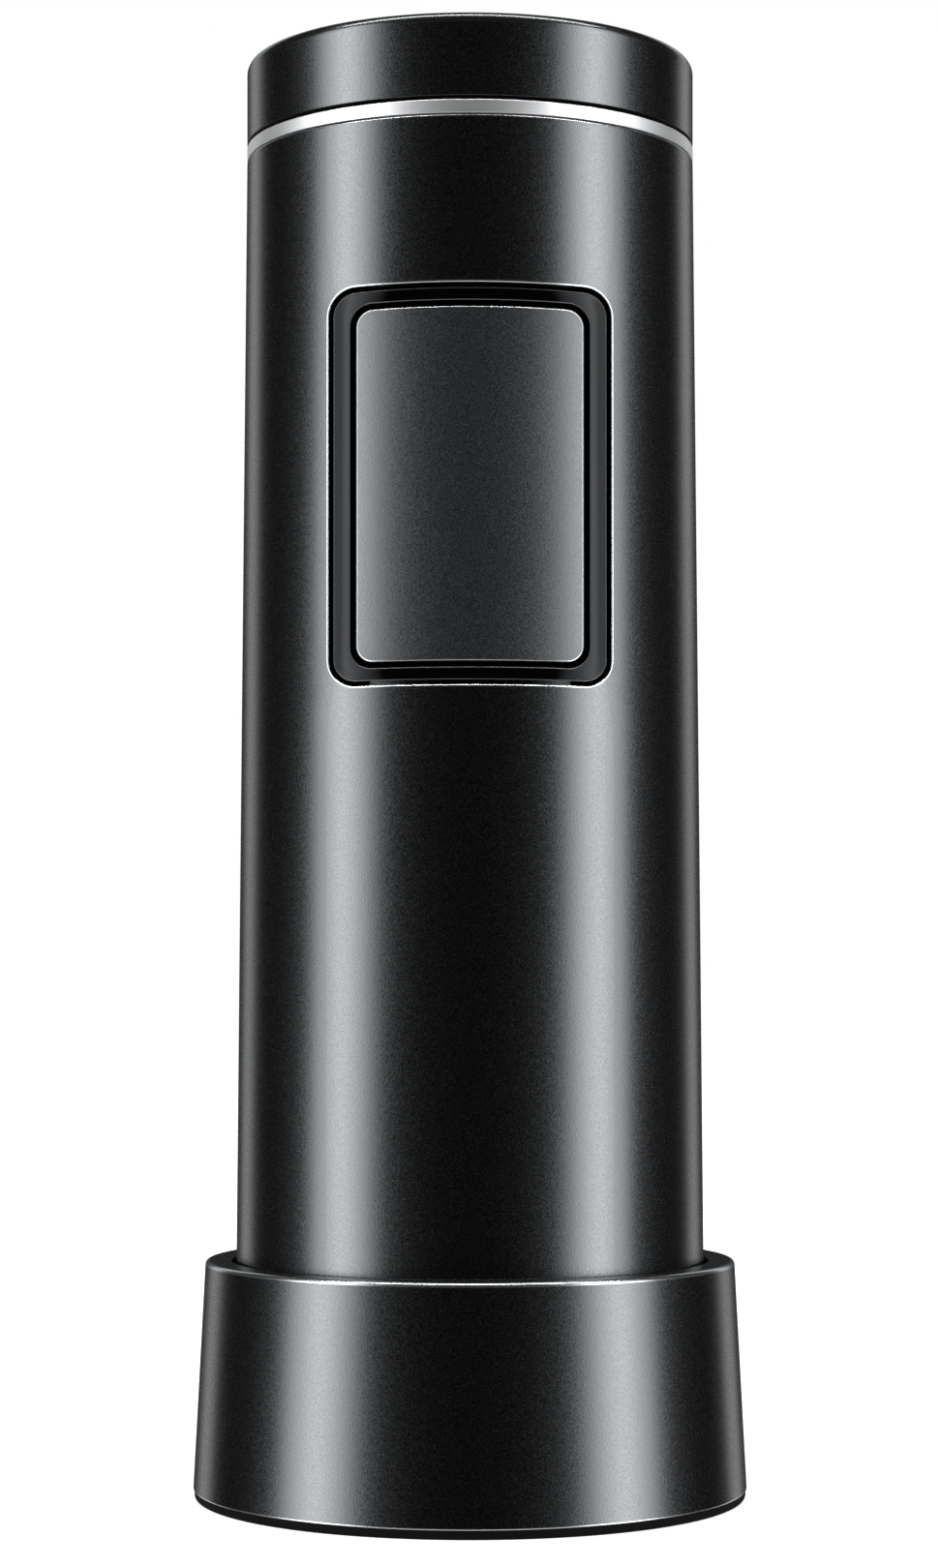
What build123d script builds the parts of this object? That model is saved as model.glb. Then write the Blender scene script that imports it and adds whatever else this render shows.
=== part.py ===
from build123d import *
import math
import os

# A handheld colour meter: a tapered black aluminium barrel with a display window, a polished
# ring and a push-button cap on top, standing nose down in a weighted calibration base.
# Z points up from the table, the display faces -Y, and the axis of the barrel is the Z axis.
# All sizes are millimetres.

# Outside sizes of the base
foot_height = 0.65
foot_inset = 0.3
foot_edge = 0.25
base_height = 16.5
base_rim_width = 1.83
base_flare = 0.85
base_top_round = 1.0
base_bottom_round = 0.15
base_mouth_clearance = 0.22
base_lip_height = 1.2
base_wall = 0.9

# Stack inside the base, from the foot up
base_plate_thickness = 1.4
tile_pocket_floor = 0.6
tile_cushion_thickness = 0.5
tile_thickness = 1.6
tile_radius = 11.0
tile_air_gap = 0.1
grip_ring_thickness = 1.05
base_screw_inset = 3.3
base_screw_radius = 1.0
base_screw_length = 3.6

# Barrel
barrel_length = 85.9
barrel_bottom_radius = 16.35
barrel_top_radius = 15.5
barrel_wall = 1.6
barrel_edge = 0.12
slip = 0.1
fit_gap = 0.05
cut_reach = 1.0

# Nose plate and measuring aperture
nose_flange_thickness = 1.2
nose_flange_step = 0.4
nose_spigot_length = 2.8
aperture_radius = 4.0
aperture_ring_radius = 7.0
aperture_ring_projection = 0.7
aperture_ring_seat = 0.65
aperture_glass_radius = 5.5
aperture_glass_thickness = 0.8
aperture_glass_lift = 1.0
seal_thickness = 0.9

# Measuring head
head_height = 11.0
head_wall = 1.2
chamber_mouth_radius = 6.0
chamber_top_inset = 2.6
chamber_height = 6.5
lamp_board_thickness = 0.8
lamp_board_hole = 4.2
lamp_count = 8
lamp_inset = 2.8
lamp_size = 1.6
lamp_height = 0.7
guide_inner_radius = 5.0
guide_height = 2.2
guide_clearance = 0.2
head_cover_thickness = 1.2
head_boss_radius = 1.3
head_boss_inset = 2.3
head_boss_height = 3.4
pin_slot_half_depth = 1.0
detector_tube_radius = 3.5
detector_tube_bore = 2.4
detector_tube_drop = 8.0
detector_flange_radius = 4.8
detector_flange_thickness = 0.6
lens_thickness = 1.6
lens_dome_radius = 3.2
lamp_pin_count = 4
lamp_pin_pitch = 1.27
lamp_pin_radius = 0.3
lamp_pin_inset = 1.8
filter_thickness = 1.0
sensor_board_inset = 4.2
sensor_board_thickness = 0.8
sensor_standoff = 2.0
sensor_size = 3.0
sensor_height = 1.0
spacer_radius = 1.2
spacer_inset = 1.6

# Display window
window_width = 18.7
window_height = 26.3
window_corner = 1.8
window_drop = 24.15
window_groove = 0.32
window_edge = 0.15
bezel_recess = 0.12
bezel_band = 1.13
bezel_end_band = 0.83
bezel_lip = 1.6
pane_gap = 0.33
pane_recess = 0.12
pane_edge = 0.15
pane_corner = 1.1
pane_ledge = 0.4
pocket_edge_depth = 0.3
sight_clearance = 0.45
gasket_thickness = 0.3
gasket_band = 0.45
panel_tail = 0.8
panel_thickness = 0.7
backlight_thickness = 0.8
carrier_thickness = 1.2
carrier_margin = 0.95
carrier_foot_height = 1.0
carrier_lip = 1.3
carrier_foot = 0.8
carrier_foot_inset = 4.0

# Inner frame, boards and cell
frame_plate = 1.5
frame_foot_radius = 1.5
frame_foot_inset = 1.7
frame_gap = 0.9
frame_ring_band = 4.1
rail_inset = 1.2
rail_thickness = 1.9
rail_back = 2.4
component_space = 2.8
web_thickness = 1.2
board_side_gap = 0.5
board_thickness = 0.8
board_margin = 1.2
board_screw_edge = 2.0
board_screw_inset = 3.2
board_boss_radius = 1.7
board_screw_radius = 0.8
chip_thickness = 0.9
processor_size = 7.0
processor_lift = 26.0
charger_size = 3.0
charger_x = 3.4
chip_row_gap = 0.3
memory_width = 4.0
memory_height = 5.0
memory_x = -3.6
radio_width = 11.0
radio_height = 10.0
radio_thickness = 2.0
radio_lift = 9.0
passive_rows = 3
passive_columns = 4
passive_column_pitch = 3.6
passive_row_pitch = 1.9
passive_width = 1.6
passive_height = 0.8
passive_thickness = 0.6
cell_back_gap = 2.4
cell_edge = 0.4
cell_head_room = 7.05
cell_lift = 1.4
cell_clearance = 0.25
cell_cap_radius = 2.8
cell_cap_height = 0.6
cell_pad_thickness = 0.35
pad_width = 7.2
pad_end_gap = 1.0
saddle_width = 2.4
saddle_side = 1.0
lead_radius = 0.5
lead_spacing = 1.6
lead_rise = 2.6
lead_bend = 1.2
lead_setback = 1.0
lead_window_height = 4.4
lead_window_half_width = 3.4
lead_socket_width = 4.6
lead_socket_height = 3.0
lead_socket_depth = 1.9
ribbon_width = 6.0
ribbon_thickness = 0.2
ribbon_fold = 0.6
ribbon_drop = 2.2
ribbon_landing = 3.0
cable_clearance = 0.5
socket_depth = 1.0
socket_length = 2.6
socket_side = 0.8
socket_reach = 2.4

# Charging port, through the back of the barrel
port_width = 8.94
port_height = 3.2
port_depth = 7.3
port_shell = 0.3
port_drop = 10.45
port_recess = 0.35
port_cut_margin = 0.35
port_board_width = 12.0
port_board_length = 10.6
port_board_thickness = 0.8
port_shelf_thickness = 1.4
port_shelf_side = 1.0
port_landing = 1.2
tongue_thickness = 0.7
tongue_width = 6.7
tongue_setback = 0.6

# Polished ring, switch deck and push button
ring_height = 0.9
ring_shadow = 0.08
ring_ledge = 0.45
ring_spigot = 1.5
ring_edge = 0.1
deck_thickness = 2.0
deck_screw_inset = 2.0
deck_screw_radius = 0.8
switch_board_inset = 6.2
switch_board_thickness = 0.8
switch_size = 6.0
switch_height = 3.5
switch_edge = 0.3
switch_leg_width = 0.7
switch_leg_thickness = 0.3
switch_leg_pitch = 4.5
plunger_radius = 1.75
plunger_height = 0.7
plunger_depth = 0.6
button_travel = 0.2
button_rest_gap = 0.25
cap_height = 5.55
cap_wall = 1.3
cap_roof = 1.4
cap_top_edge = 0.3
cap_skirt_edge = 0.1
dish_rim = 3.1
dish_depth = 0.45
core_thickness = 1.0
core_stem_radius = 2.2
leg_inset = 1.3
leg_thickness = 0.9
leg_width = 3.2
leg_barb = 0.4
leg_barb_height = 0.9

# Shapes of the screws, as shares of the thread's radius
flat_head_share = 2.0
flat_slot_share = 1.2
flat_slot_depth_share = 0.5
pan_head_share = 1.8
pan_flat_share = 0.7
pan_top_share = 1.2
pan_slot_floor_share = 0.6
slot_half_width_share = 0.2

# Radii and widths worked out from the barrel
barrel_bore = barrel_top_radius - barrel_wall
inner_radius = barrel_bore - 3 * slip
mouth_radius = barrel_bottom_radius + base_mouth_clearance
base_top_radius = mouth_radius + base_rim_width
base_bottom_radius = base_top_radius + base_flare
shell_bore = base_top_radius - base_wall
liner_outer_radius = shell_bore - slip
base_screw_circle = shell_bore - base_screw_inset
chamber_top_radius = inner_radius - chamber_top_inset
lamp_circle = chamber_top_radius - lamp_inset
head_boss_circle = inner_radius - head_boss_inset
sensor_board_radius = inner_radius - sensor_board_inset
spacer_circle = sensor_board_radius - spacer_inset
lamp_pin_circle = sensor_board_radius - lamp_pin_inset
frame_foot_circle = inner_radius - frame_foot_inset
frame_ring_bore = inner_radius - frame_ring_band
rail_outer = inner_radius - rail_inset
rail_inner = rail_outer - rail_thickness
board_half_width = rail_inner - board_side_gap
board_screw_x = board_half_width - board_screw_edge
ring_bore = barrel_bore - ring_ledge
deck_screw_circle = inner_radius - deck_screw_inset
switch_board_radius = inner_radius - switch_board_inset
leg_outer = barrel_top_radius - cap_wall - leg_inset
leg_inner = leg_outer - leg_thickness
dish_radius = barrel_top_radius - dish_rim

# Heights worked out from the stack
base_plate_low = foot_height
liner_low = base_plate_low + base_plate_thickness
cushion_low = liner_low + tile_pocket_floor
tile_low = cushion_low + tile_cushion_thickness
tile_high = tile_low + tile_thickness
aperture_face = tile_high + tile_air_gap
nose_face = aperture_face + aperture_ring_projection
barrel_low = nose_face + nose_flange_thickness
barrel_high = barrel_low + barrel_length
head_low = barrel_low + nose_spigot_length
head_high = head_low + head_height
cover_high = head_high + head_cover_thickness
lamp_board_low = head_low + chamber_height
sensor_board_low = cover_high + sensor_standoff
sensor_board_high = sensor_board_low + sensor_board_thickness
frame_low = sensor_board_high + frame_gap
ring_low = barrel_high + ring_shadow
ring_high = ring_low + ring_height
deck_high = ring_low - ring_spigot
deck_low = deck_high - deck_thickness
frame_high = deck_low
cap_low = ring_high + button_rest_gap
cap_high = cap_low + cap_height
cap_ceiling = cap_high - cap_roof
core_low = cap_ceiling - core_thickness
switch_board_high = deck_high + switch_board_thickness
switch_high = switch_board_high + switch_height
plunger_high = switch_high + plunger_height
frame_plate_high = frame_low + frame_plate
board_low = frame_plate_high + board_margin
board_high = frame_high - frame_plate - board_margin
window_centre = barrel_high - window_drop
port_centre = barrel_high - port_drop
port_low = port_centre - port_height / 2
port_board_low = port_low - port_board_thickness
port_cable_height = port_low + ribbon_thickness / 2
shelf_low = port_board_low - port_shelf_thickness
cell_low = frame_plate_high + cell_lift
cell_high = shelf_low - cell_head_room
grip_high = base_height - base_lip_height - fit_gap
liner_high = grip_high - grip_ring_thickness - fit_gap
screw_angles = (90, 210, 330)
leg_angles = (30, 150, 270)


def barrel_radius(height):
    """Outside radius of the tapered barrel at a height above the table."""
    share = (height - barrel_low) / barrel_length
    return barrel_bottom_radius + (barrel_top_radius - barrel_bottom_radius) * share


# Window sizes and depths, from the pocket's floor inwards
window_high = window_centre + window_height / 2
pocket_floor = math.sqrt(barrel_radius(window_high) ** 2 - (window_width / 2) ** 2) - pocket_edge_depth
pane_back = pocket_floor + pane_ledge
bezel_width = window_width - 2 * window_groove
bezel_height = window_height - 2 * window_groove
bezel_corner = window_corner - window_groove
opening_width = bezel_width - 2 * bezel_band
opening_height = bezel_height - 2 * bezel_end_band
pane_width = opening_width - 2 * pane_gap
pane_height = opening_height - 2 * pane_gap
sight_width = opening_width - 2 * bezel_lip
sight_height = opening_height - 2 * bezel_lip
panel_width = sight_width + 2 * gasket_band
panel_height = window_height + 2 * panel_tail
carrier_width = panel_width + 2 * carrier_margin
panel_front = -pocket_floor + gasket_thickness
panel_back = panel_front + panel_thickness
backlight_back = panel_back + backlight_thickness
carrier_back = backlight_back + carrier_thickness
board_front = carrier_back + carrier_foot_height
board_back = board_front + board_thickness
web_front = board_back + component_space
web_back = web_front + web_thickness
cell_front = web_back + cell_pad_thickness + cell_clearance
cell_radius = (inner_radius - cell_back_gap - cell_front) / 2
cell_axis_y = cell_front + cell_radius

# The three cables on the front of the main board end at sockets of one kind
cable_plane = board_front - socket_depth - ribbon_thickness / 2
display_socket_centre = window_centre - panel_height / 2 - carrier_lip - ribbon_drop - socket_reach
sensor_socket_centre = board_low + socket_reach
switch_socket_centre = board_high - socket_length


def turned(*points):
    """A solid turned about the Z axis from (radius, height) points."""
    outline = Polyline(*[(radius, 0, height) for radius, height in points], close=True)
    return revolve(make_face(outline), Axis.Z)


def disc(radius, low, high):
    """A plain round disc on the Z axis."""
    return Pos(0, 0, low) * extrude(Circle(radius), high - low)


def tube(bore, radius, low, high):
    """A round tube on the Z axis."""
    return disc(radius, low, high) - disc(bore, low, high)


def rod(x, y, radius, low, high):
    """An upright round rod."""
    return Pos(x, y, 0) * disc(radius, low, high)


def block(x_low, x_high, y_low, y_high, z_low, z_high):
    """A box between two corners."""
    size = (x_high - x_low, y_high - y_low, z_high - z_low)
    middle = ((x_low + x_high) / 2, (y_low + y_high) / 2, (z_low + z_high) / 2)
    return Pos(*middle) * Box(*size)


def on_circle(radius, angle):
    """The point at an angle, in degrees, on a circle about the Z axis."""
    turn = math.radians(angle)
    return radius * math.cos(turn), radius * math.sin(turn)


def window_prism(width, height, corner, front, back):
    """A rounded rectangle on the window's centre, run along Y from front to back."""
    outline = RectangleRounded(width, height, corner)
    placed = Pos(0, back, window_centre) * Rot(90, 0, 0) * extrude(outline, back - front)
    return placed


def flush_cone(recess):
    """The barrel's tapered solid over the window's heights, taken in by a recess."""
    low = window_centre - window_height
    high = window_centre + window_height
    low_radius = barrel_radius(low) - recess
    high_radius = barrel_radius(high) - recess
    return turned((0, low), (low_radius, low), (high_radius, high), (0, high))


def circle_edges(part, radius, height):
    """The round edges of a part at a radius and a height."""
    found = part.edges().filter_by(GeomType.CIRCLE)
    near = 0.01
    return [e for e in found if abs(e.radius - radius) < near and abs(e.arc_center.Z - height) < near]


def countersunk_screw(x, y, top, radius, length):
    """A flat-headed screw pointing down, with a cross slot in its head."""
    head = flat_head_share * radius
    body = turned((0, -length), (radius, -length), (radius, -radius), (head, 0), (0, 0))
    reach = flat_slot_share * radius
    half = slot_half_width_share * radius
    slot = block(-reach, reach, -half, half, -flat_slot_depth_share * radius, 0)
    return Pos(x, y, top) * (body - slot - Rot(0, 0, 90) * slot)


def countersunk_hole(x, y, top, radius, depth):
    """The clearance hole for a countersunk screw whose head ends at top."""
    grown = radius + slip
    head = flat_head_share * radius + slip
    hole = turned((0, -depth), (grown, -depth), (grown, -radius), (head, 0), (head, slip), (0, slip))
    return Pos(x, y, top) * hole


def pan_screw(radius, length):
    """A round-headed screw with its seat at the origin, its head above it and its shank below."""
    wide = pan_head_share * radius
    flat = pan_flat_share * radius
    top = pan_top_share * radius
    head = turned((0, 0), (wide, 0), (wide, flat), (top, top), (0, top))
    half = slot_half_width_share * radius
    slot = block(-radius, radius, -half, half, pan_slot_floor_share * radius, top + radius)
    return head + disc(radius, -length, 0) - slot - Rot(0, 0, 90) * slot


# Calibration base

def base_shell():
    wall = turned(
        (shell_bore, foot_height),
        (base_bottom_radius, foot_height),
        (base_top_radius, base_height),
        (mouth_radius, base_height),
        (mouth_radius, base_height - base_lip_height),
        (shell_bore, base_height - base_lip_height),
    )
    wall = fillet(circle_edges(wall, base_top_radius, base_height), base_top_round)
    wall = fillet(circle_edges(wall, base_bottom_radius, foot_height), base_bottom_round)
    return chamfer(circle_edges(wall, mouth_radius, base_height), base_bottom_round)


def base_foot_pad():
    pad = disc(base_bottom_radius - foot_inset, 0, foot_height)
    return fillet(circle_edges(pad, base_bottom_radius - foot_inset, 0), foot_edge)


def base_plate():
    plate = disc(shell_bore - slip, base_plate_low, liner_low)
    for angle in screw_angles:
        x, y = on_circle(base_screw_circle, angle)
        hole = countersunk_hole(0, 0, 0, base_screw_radius, base_plate_thickness)
        plate -= Pos(x, y, base_plate_low) * Rot(180, 0, 0) * hole
    return plate


def base_liner():
    cup = disc(liner_outer_radius, liner_low, liner_high)
    cup -= disc(mouth_radius, nose_face, liner_high)
    cup -= disc(tile_radius + slip, cushion_low, nose_face)
    for angle in screw_angles:
        x, y = on_circle(base_screw_circle, angle)
        cup -= rod(x, y, base_screw_radius + fit_gap, liner_low, base_plate_low + base_screw_length + fit_gap)
    return cup


def base_screws():
    screws = []
    for angle in screw_angles:
        x, y = on_circle(base_screw_circle, angle)
        screw = countersunk_screw(0, 0, 0, base_screw_radius, base_screw_length)
        screws.append(Pos(x, y, base_plate_low) * Rot(180, 0, 0) * screw)
    return Compound(children=screws)


def tile_cushion():
    return tube(tile_radius / 2, tile_radius - slip, cushion_low, tile_low)


def calibration_tile():
    tile = disc(tile_radius, tile_low, tile_high)
    return chamfer(circle_edges(tile, tile_radius, tile_high), 2 * slip)


def grip_ring():
    half = grip_ring_thickness / 2
    centre = shell_bore - half - fit_gap
    section = Pos(centre, 0, grip_high - half) * Rot(90, 0, 0) * Circle(half)
    return revolve(section, Axis.Z)


# Barrel and window

def barrel():
    wall = turned(
        (barrel_bore, barrel_low),
        (barrel_bottom_radius, barrel_low),
        (barrel_top_radius, barrel_high),
        (barrel_bore, barrel_high),
    )
    wall = chamfer(circle_edges(wall, barrel_top_radius, barrel_high), barrel_edge)
    wall = chamfer(circle_edges(wall, barrel_bottom_radius, barrel_low), 2 * barrel_edge)
    outside = -barrel_bottom_radius - cut_reach
    wall -= window_prism(window_width, window_height, window_corner, outside, -pocket_floor)
    well_width = panel_width + 2 * sight_clearance
    well_height = window_height - 2 * bezel_end_band
    wall -= window_prism(well_width, well_height, window_corner, outside, 0)
    rim = [e for e in wall.edges() if is_window_rim(e)]
    wall = chamfer(rim, window_edge)
    cut_width = port_width + 2 * port_cut_margin
    cut_height = port_height + 2 * port_cut_margin
    port = extrude(RectangleRounded(cut_width, cut_height, port_height / 2), barrel_bottom_radius)
    return wall - Pos(0, barrel_bottom_radius + cut_reach, port_centre) * Rot(90, 0, 0) * port


def is_window_rim(edge):
    """True for the edges where the window's pocket meets the barrel's outer face."""
    half_width = window_width / 2 + slip
    half_height = window_height / 2 + slip
    for point in (edge @ 0, edge @ 0.5, edge @ 1):
        if point.Y > 0 or abs(point.X) > half_width or abs(point.Z - window_centre) > half_height:
            return False
        if abs(math.hypot(point.X, point.Y) - barrel_radius(point.Z)) > fit_gap:
            return False
    return True


def window_bezel():
    outside = -barrel_bottom_radius - cut_reach
    frame = window_prism(bezel_width, bezel_height, bezel_corner, outside, -pocket_floor)
    frame &= flush_cone(bezel_recess)
    frame -= window_prism(opening_width, opening_height, pane_corner + pane_gap, outside, -pane_back)
    sight = window_prism(sight_width, sight_height, pane_corner, outside, 0)
    return frame - sight


def window_pane():
    outside = -barrel_bottom_radius - cut_reach
    pane = window_prism(pane_width, pane_height, pane_corner, outside, -pane_back)
    pane &= flush_cone(pane_recess)
    front = pane.faces().filter_by(Plane.XZ, reverse=True).sort_by(Axis.Y)[0]
    return chamfer(front.edges(), pane_edge)


def window_gasket():
    width = panel_width
    height = panel_height - 2 * carrier_lip
    frame = window_prism(width, height, slip, -pocket_floor, panel_front)
    return frame - window_prism(sight_width, sight_height, slip, -pocket_floor, panel_front)


def display_panel():
    half_width = panel_width / 2
    low = window_centre - panel_height / 2
    high = window_centre + panel_height / 2
    return block(-half_width, half_width, panel_front, panel_back, low, high)


def display_backlight():
    half_width = panel_width / 2
    low = window_centre - panel_height / 2
    high = window_centre + panel_height / 2
    return block(-half_width, half_width, panel_back, backlight_back, low, high)


def display_carrier():
    half_width = carrier_width / 2
    low = window_centre - panel_height / 2 - carrier_lip
    high = window_centre + panel_height / 2 + carrier_lip
    tray = block(-half_width, half_width, backlight_back, carrier_back, low, high)
    inner = ribbon_width / 2 + 4 * slip
    outer = panel_width / 2
    for edge in (low, high - carrier_lip + slip):
        for side in (-1, 1):
            low_x, high_x = sorted((side * inner, side * outer))
            tray += block(low_x, high_x, panel_front, backlight_back, edge, edge + carrier_lip - slip)
    half = carrier_foot
    for x in (-half_width + half, half_width - half):
        for z in (low + carrier_foot_inset, high - carrier_foot_inset):
            tray += block(x - half, x + half, carrier_back, board_front, z - half, z + half)
    return tray


def flat_cable(*points):
    """A flat cable along a folded path in the Y-Z plane, its width along X."""
    path = FilletPolyline(*points, radius=ribbon_fold)
    section = Plane(path @ 0, x_dir=(1, 0, 0), z_dir=path % 0) * Rectangle(ribbon_width, ribbon_thickness)
    return sweep(section, path)


def display_ribbon():
    """The panel's flat cable, folded back under the carrier and up to its socket on the main board."""
    top = window_centre - panel_height / 2
    low = top - carrier_lip - ribbon_drop
    front = (panel_front + panel_back) / 2
    end = (0, cable_plane, display_socket_centre)
    return flat_cable((0, front, top), (0, front, low), (0, cable_plane, low), end)


def socket(centre, front, back):
    half = ribbon_width / 2 + socket_side
    return block(-half, half, front, back, centre - socket_length / 2, centre + socket_length / 2)


def ribbon_sockets():
    centres = (display_socket_centre, sensor_socket_centre, switch_socket_centre)
    sockets = [socket(centre, board_front - socket_depth, board_front) for centre in centres]
    sockets.append(socket(port_cable_height, board_back, board_back + socket_depth))
    return Compound(children=sockets)


# Nose plate and measuring head

def nose_plate():
    spigot_radius = barrel_bore - fit_gap
    plate = turned(
        (0, nose_face),
        (barrel_bottom_radius - nose_flange_step, nose_face),
        (barrel_bottom_radius - nose_flange_step, barrel_low),
        (spigot_radius, barrel_low),
        (spigot_radius, head_low),
        (0, head_low),
    )
    plate = fillet(circle_edges(plate, barrel_bottom_radius - nose_flange_step, nose_face), nose_flange_step)
    plate -= disc(aperture_ring_radius + fit_gap, nose_face, nose_face + aperture_ring_seat)
    plate -= disc(aperture_radius + 2 * slip, nose_face, head_low)
    glass_low = nose_face + aperture_ring_seat + aperture_glass_lift
    plate -= disc(aperture_glass_radius + slip, glass_low, head_low)
    middle = (barrel_low + head_low) / 2
    half = seal_thickness / 2 + fit_gap
    return plate - tube(barrel_bore - seal_thickness, barrel_bore, middle - half, middle + half)


def nose_seal():
    half = seal_thickness / 2 - fit_gap / 2
    middle = (barrel_low + head_low) / 2
    section = Pos(barrel_bore - half - fit_gap / 2, 0, middle) * Rot(90, 0, 0) * Circle(half)
    return revolve(section, Axis.Z)


def aperture_ring():
    ring = tube(aperture_radius, aperture_ring_radius, aperture_face, nose_face + aperture_ring_seat)
    ring = chamfer(circle_edges(ring, aperture_ring_radius, aperture_face), 2 * slip)
    return chamfer(circle_edges(ring, aperture_radius, aperture_face), 2 * slip)


def aperture_glass():
    low = nose_face + aperture_ring_seat + aperture_glass_lift
    return disc(aperture_glass_radius, low, low + aperture_glass_thickness)


def head_housing():
    inside = inner_radius - head_wall
    cup = turned(
        (chamber_mouth_radius, head_low),
        (inner_radius, head_low),
        (inner_radius, head_high),
        (inside, head_high),
        (inside, lamp_board_low),
        (chamber_top_radius, lamp_board_low),
    )
    for angle in screw_angles:
        x, y = on_circle(head_boss_circle, angle)
        boss_low = head_high - head_boss_height
        boss = rod(x, y, head_boss_radius, boss_low, head_high)
        boss &= disc(inside + slip, head_low, head_high)
        hole = rod(x, y, board_screw_radius, boss_low, head_high)
        cup = cup + boss - hole
    return cup


def light_guide():
    """A clear ring that follows the cone of the chamber and bends the lamps' light to the sample."""
    top = lamp_board_low - lamp_height - guide_clearance
    low = top - guide_height
    slope = (chamber_top_radius - chamber_mouth_radius) / chamber_height
    low_radius = chamber_mouth_radius + slope * (low - head_low) - guide_clearance
    top_radius = chamber_mouth_radius + slope * (top - head_low) - guide_clearance
    return turned((guide_inner_radius, low), (low_radius, low), (top_radius, top), (guide_inner_radius, top))


def lamp_board():
    inside = inner_radius - head_wall - slip
    board = tube(lamp_board_hole, inside, lamp_board_low, lamp_board_low + lamp_board_thickness)
    for angle in screw_angles:
        x, y = on_circle(head_boss_circle, angle)
        board -= rod(x, y, head_boss_radius + slip, lamp_board_low, lamp_board_low + lamp_board_thickness)
    return board


def lamps():
    half = lamp_size / 2
    low = lamp_board_low - lamp_height
    chips = []
    for k in range(lamp_count):
        lamp = block(lamp_circle - half, lamp_circle + half, -half, half, low, lamp_board_low)
        chips.append(Rot(0, 0, 360 * k / lamp_count) * lamp)
    return Compound(children=chips)


def head_cover():
    plate = tube(detector_tube_radius + fit_gap, inner_radius, head_high, cover_high)
    for angle in screw_angles:
        x, y = on_circle(head_boss_circle, angle)
        plate -= countersunk_hole(x, y, cover_high, board_screw_radius, head_cover_thickness)
    half = lamp_pin_count * lamp_pin_pitch / 2
    front = -lamp_pin_circle - pin_slot_half_depth
    back = -lamp_pin_circle + pin_slot_half_depth
    return plate - block(-half, half, front, back, head_high, cover_high)


def head_screws():
    length = head_cover_thickness + head_boss_height - slip
    screws = []
    for angle in screw_angles:
        x, y = on_circle(head_boss_circle, angle)
        screws.append(countersunk_screw(x, y, cover_high, board_screw_radius - fit_gap, length))
    return Compound(children=screws)


def detector_tube():
    low = cover_high - detector_tube_drop
    high = cover_high + detector_flange_thickness
    barrel_part = disc(detector_tube_radius, low, high) + disc(detector_flange_radius, cover_high, high)
    ledge = detector_tube_bore - 2 * slip
    barrel_part -= disc(ledge, low, high)
    barrel_part -= disc(detector_tube_bore, low, low + lens_thickness)
    return barrel_part - disc(detector_tube_bore, high - filter_thickness, high)


def detector_lens():
    """A small lens, flat on its upper face and domed towards the sample."""
    low = cover_high - detector_tube_drop + slip
    radius = detector_tube_bore - fit_gap
    dome = Pos(0, 0, low + lens_dome_radius) * Sphere(lens_dome_radius)
    return disc(radius, low, low + lens_thickness - slip) & dome


def infrared_filter():
    high = cover_high + detector_flange_thickness
    return disc(detector_tube_bore - fit_gap, high - filter_thickness, high)


def sensor_board():
    board = disc(sensor_board_radius, sensor_board_low, sensor_board_high)
    for angle in screw_angles:
        x, y = on_circle(spacer_circle, angle)
        board -= rod(x, y, board_screw_radius + fit_gap, sensor_board_low, sensor_board_high)
    return board


def colour_sensor():
    half = sensor_size / 2
    return block(-half, half, -half, half, sensor_board_low - sensor_height, sensor_board_low)


def sensor_spacers():
    spacers = []
    for angle in screw_angles:
        x, y = on_circle(spacer_circle, angle)
        spacer = rod(x, y, spacer_radius + board_screw_radius, cover_high, sensor_board_low)
        spacers.append(spacer - rod(x, y, board_screw_radius, cover_high, sensor_board_low))
    return Compound(children=spacers)


def sensor_screws():
    length = sensor_board_thickness + sensor_standoff - slip
    screws = []
    for angle in screw_angles:
        x, y = on_circle(spacer_circle, angle)
        screw = pan_screw(board_screw_radius - fit_gap, length)
        screws.append(Pos(x, y, sensor_board_high) * screw)
    return Compound(children=screws)


def sensor_ribbon():
    """The flat cable from the sensor board up to the foot of the main board."""
    low = sensor_board_high + ribbon_thickness / 2
    end = (0, cable_plane, sensor_socket_centre)
    return flat_cable((0, cable_plane + ribbon_landing, low), (0, cable_plane, low), end)


def lamp_pins():
    """The row of pins that carries the lamps' current up to the sensor board."""
    low = lamp_board_low + lamp_board_thickness
    pins = []
    for k in range(lamp_pin_count):
        x = (k - (lamp_pin_count - 1) / 2) * lamp_pin_pitch
        pins.append(rod(x, -lamp_pin_circle, lamp_pin_radius, low, sensor_board_low))
    return Compound(children=pins)


# Inner frame

def board_screw_places():
    """The x and z of each screw that holds the main board."""
    rows = (board_low + board_screw_inset, board_high - board_screw_inset)
    return [(x, z) for z in rows for x in (-board_screw_x, board_screw_x)]


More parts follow.
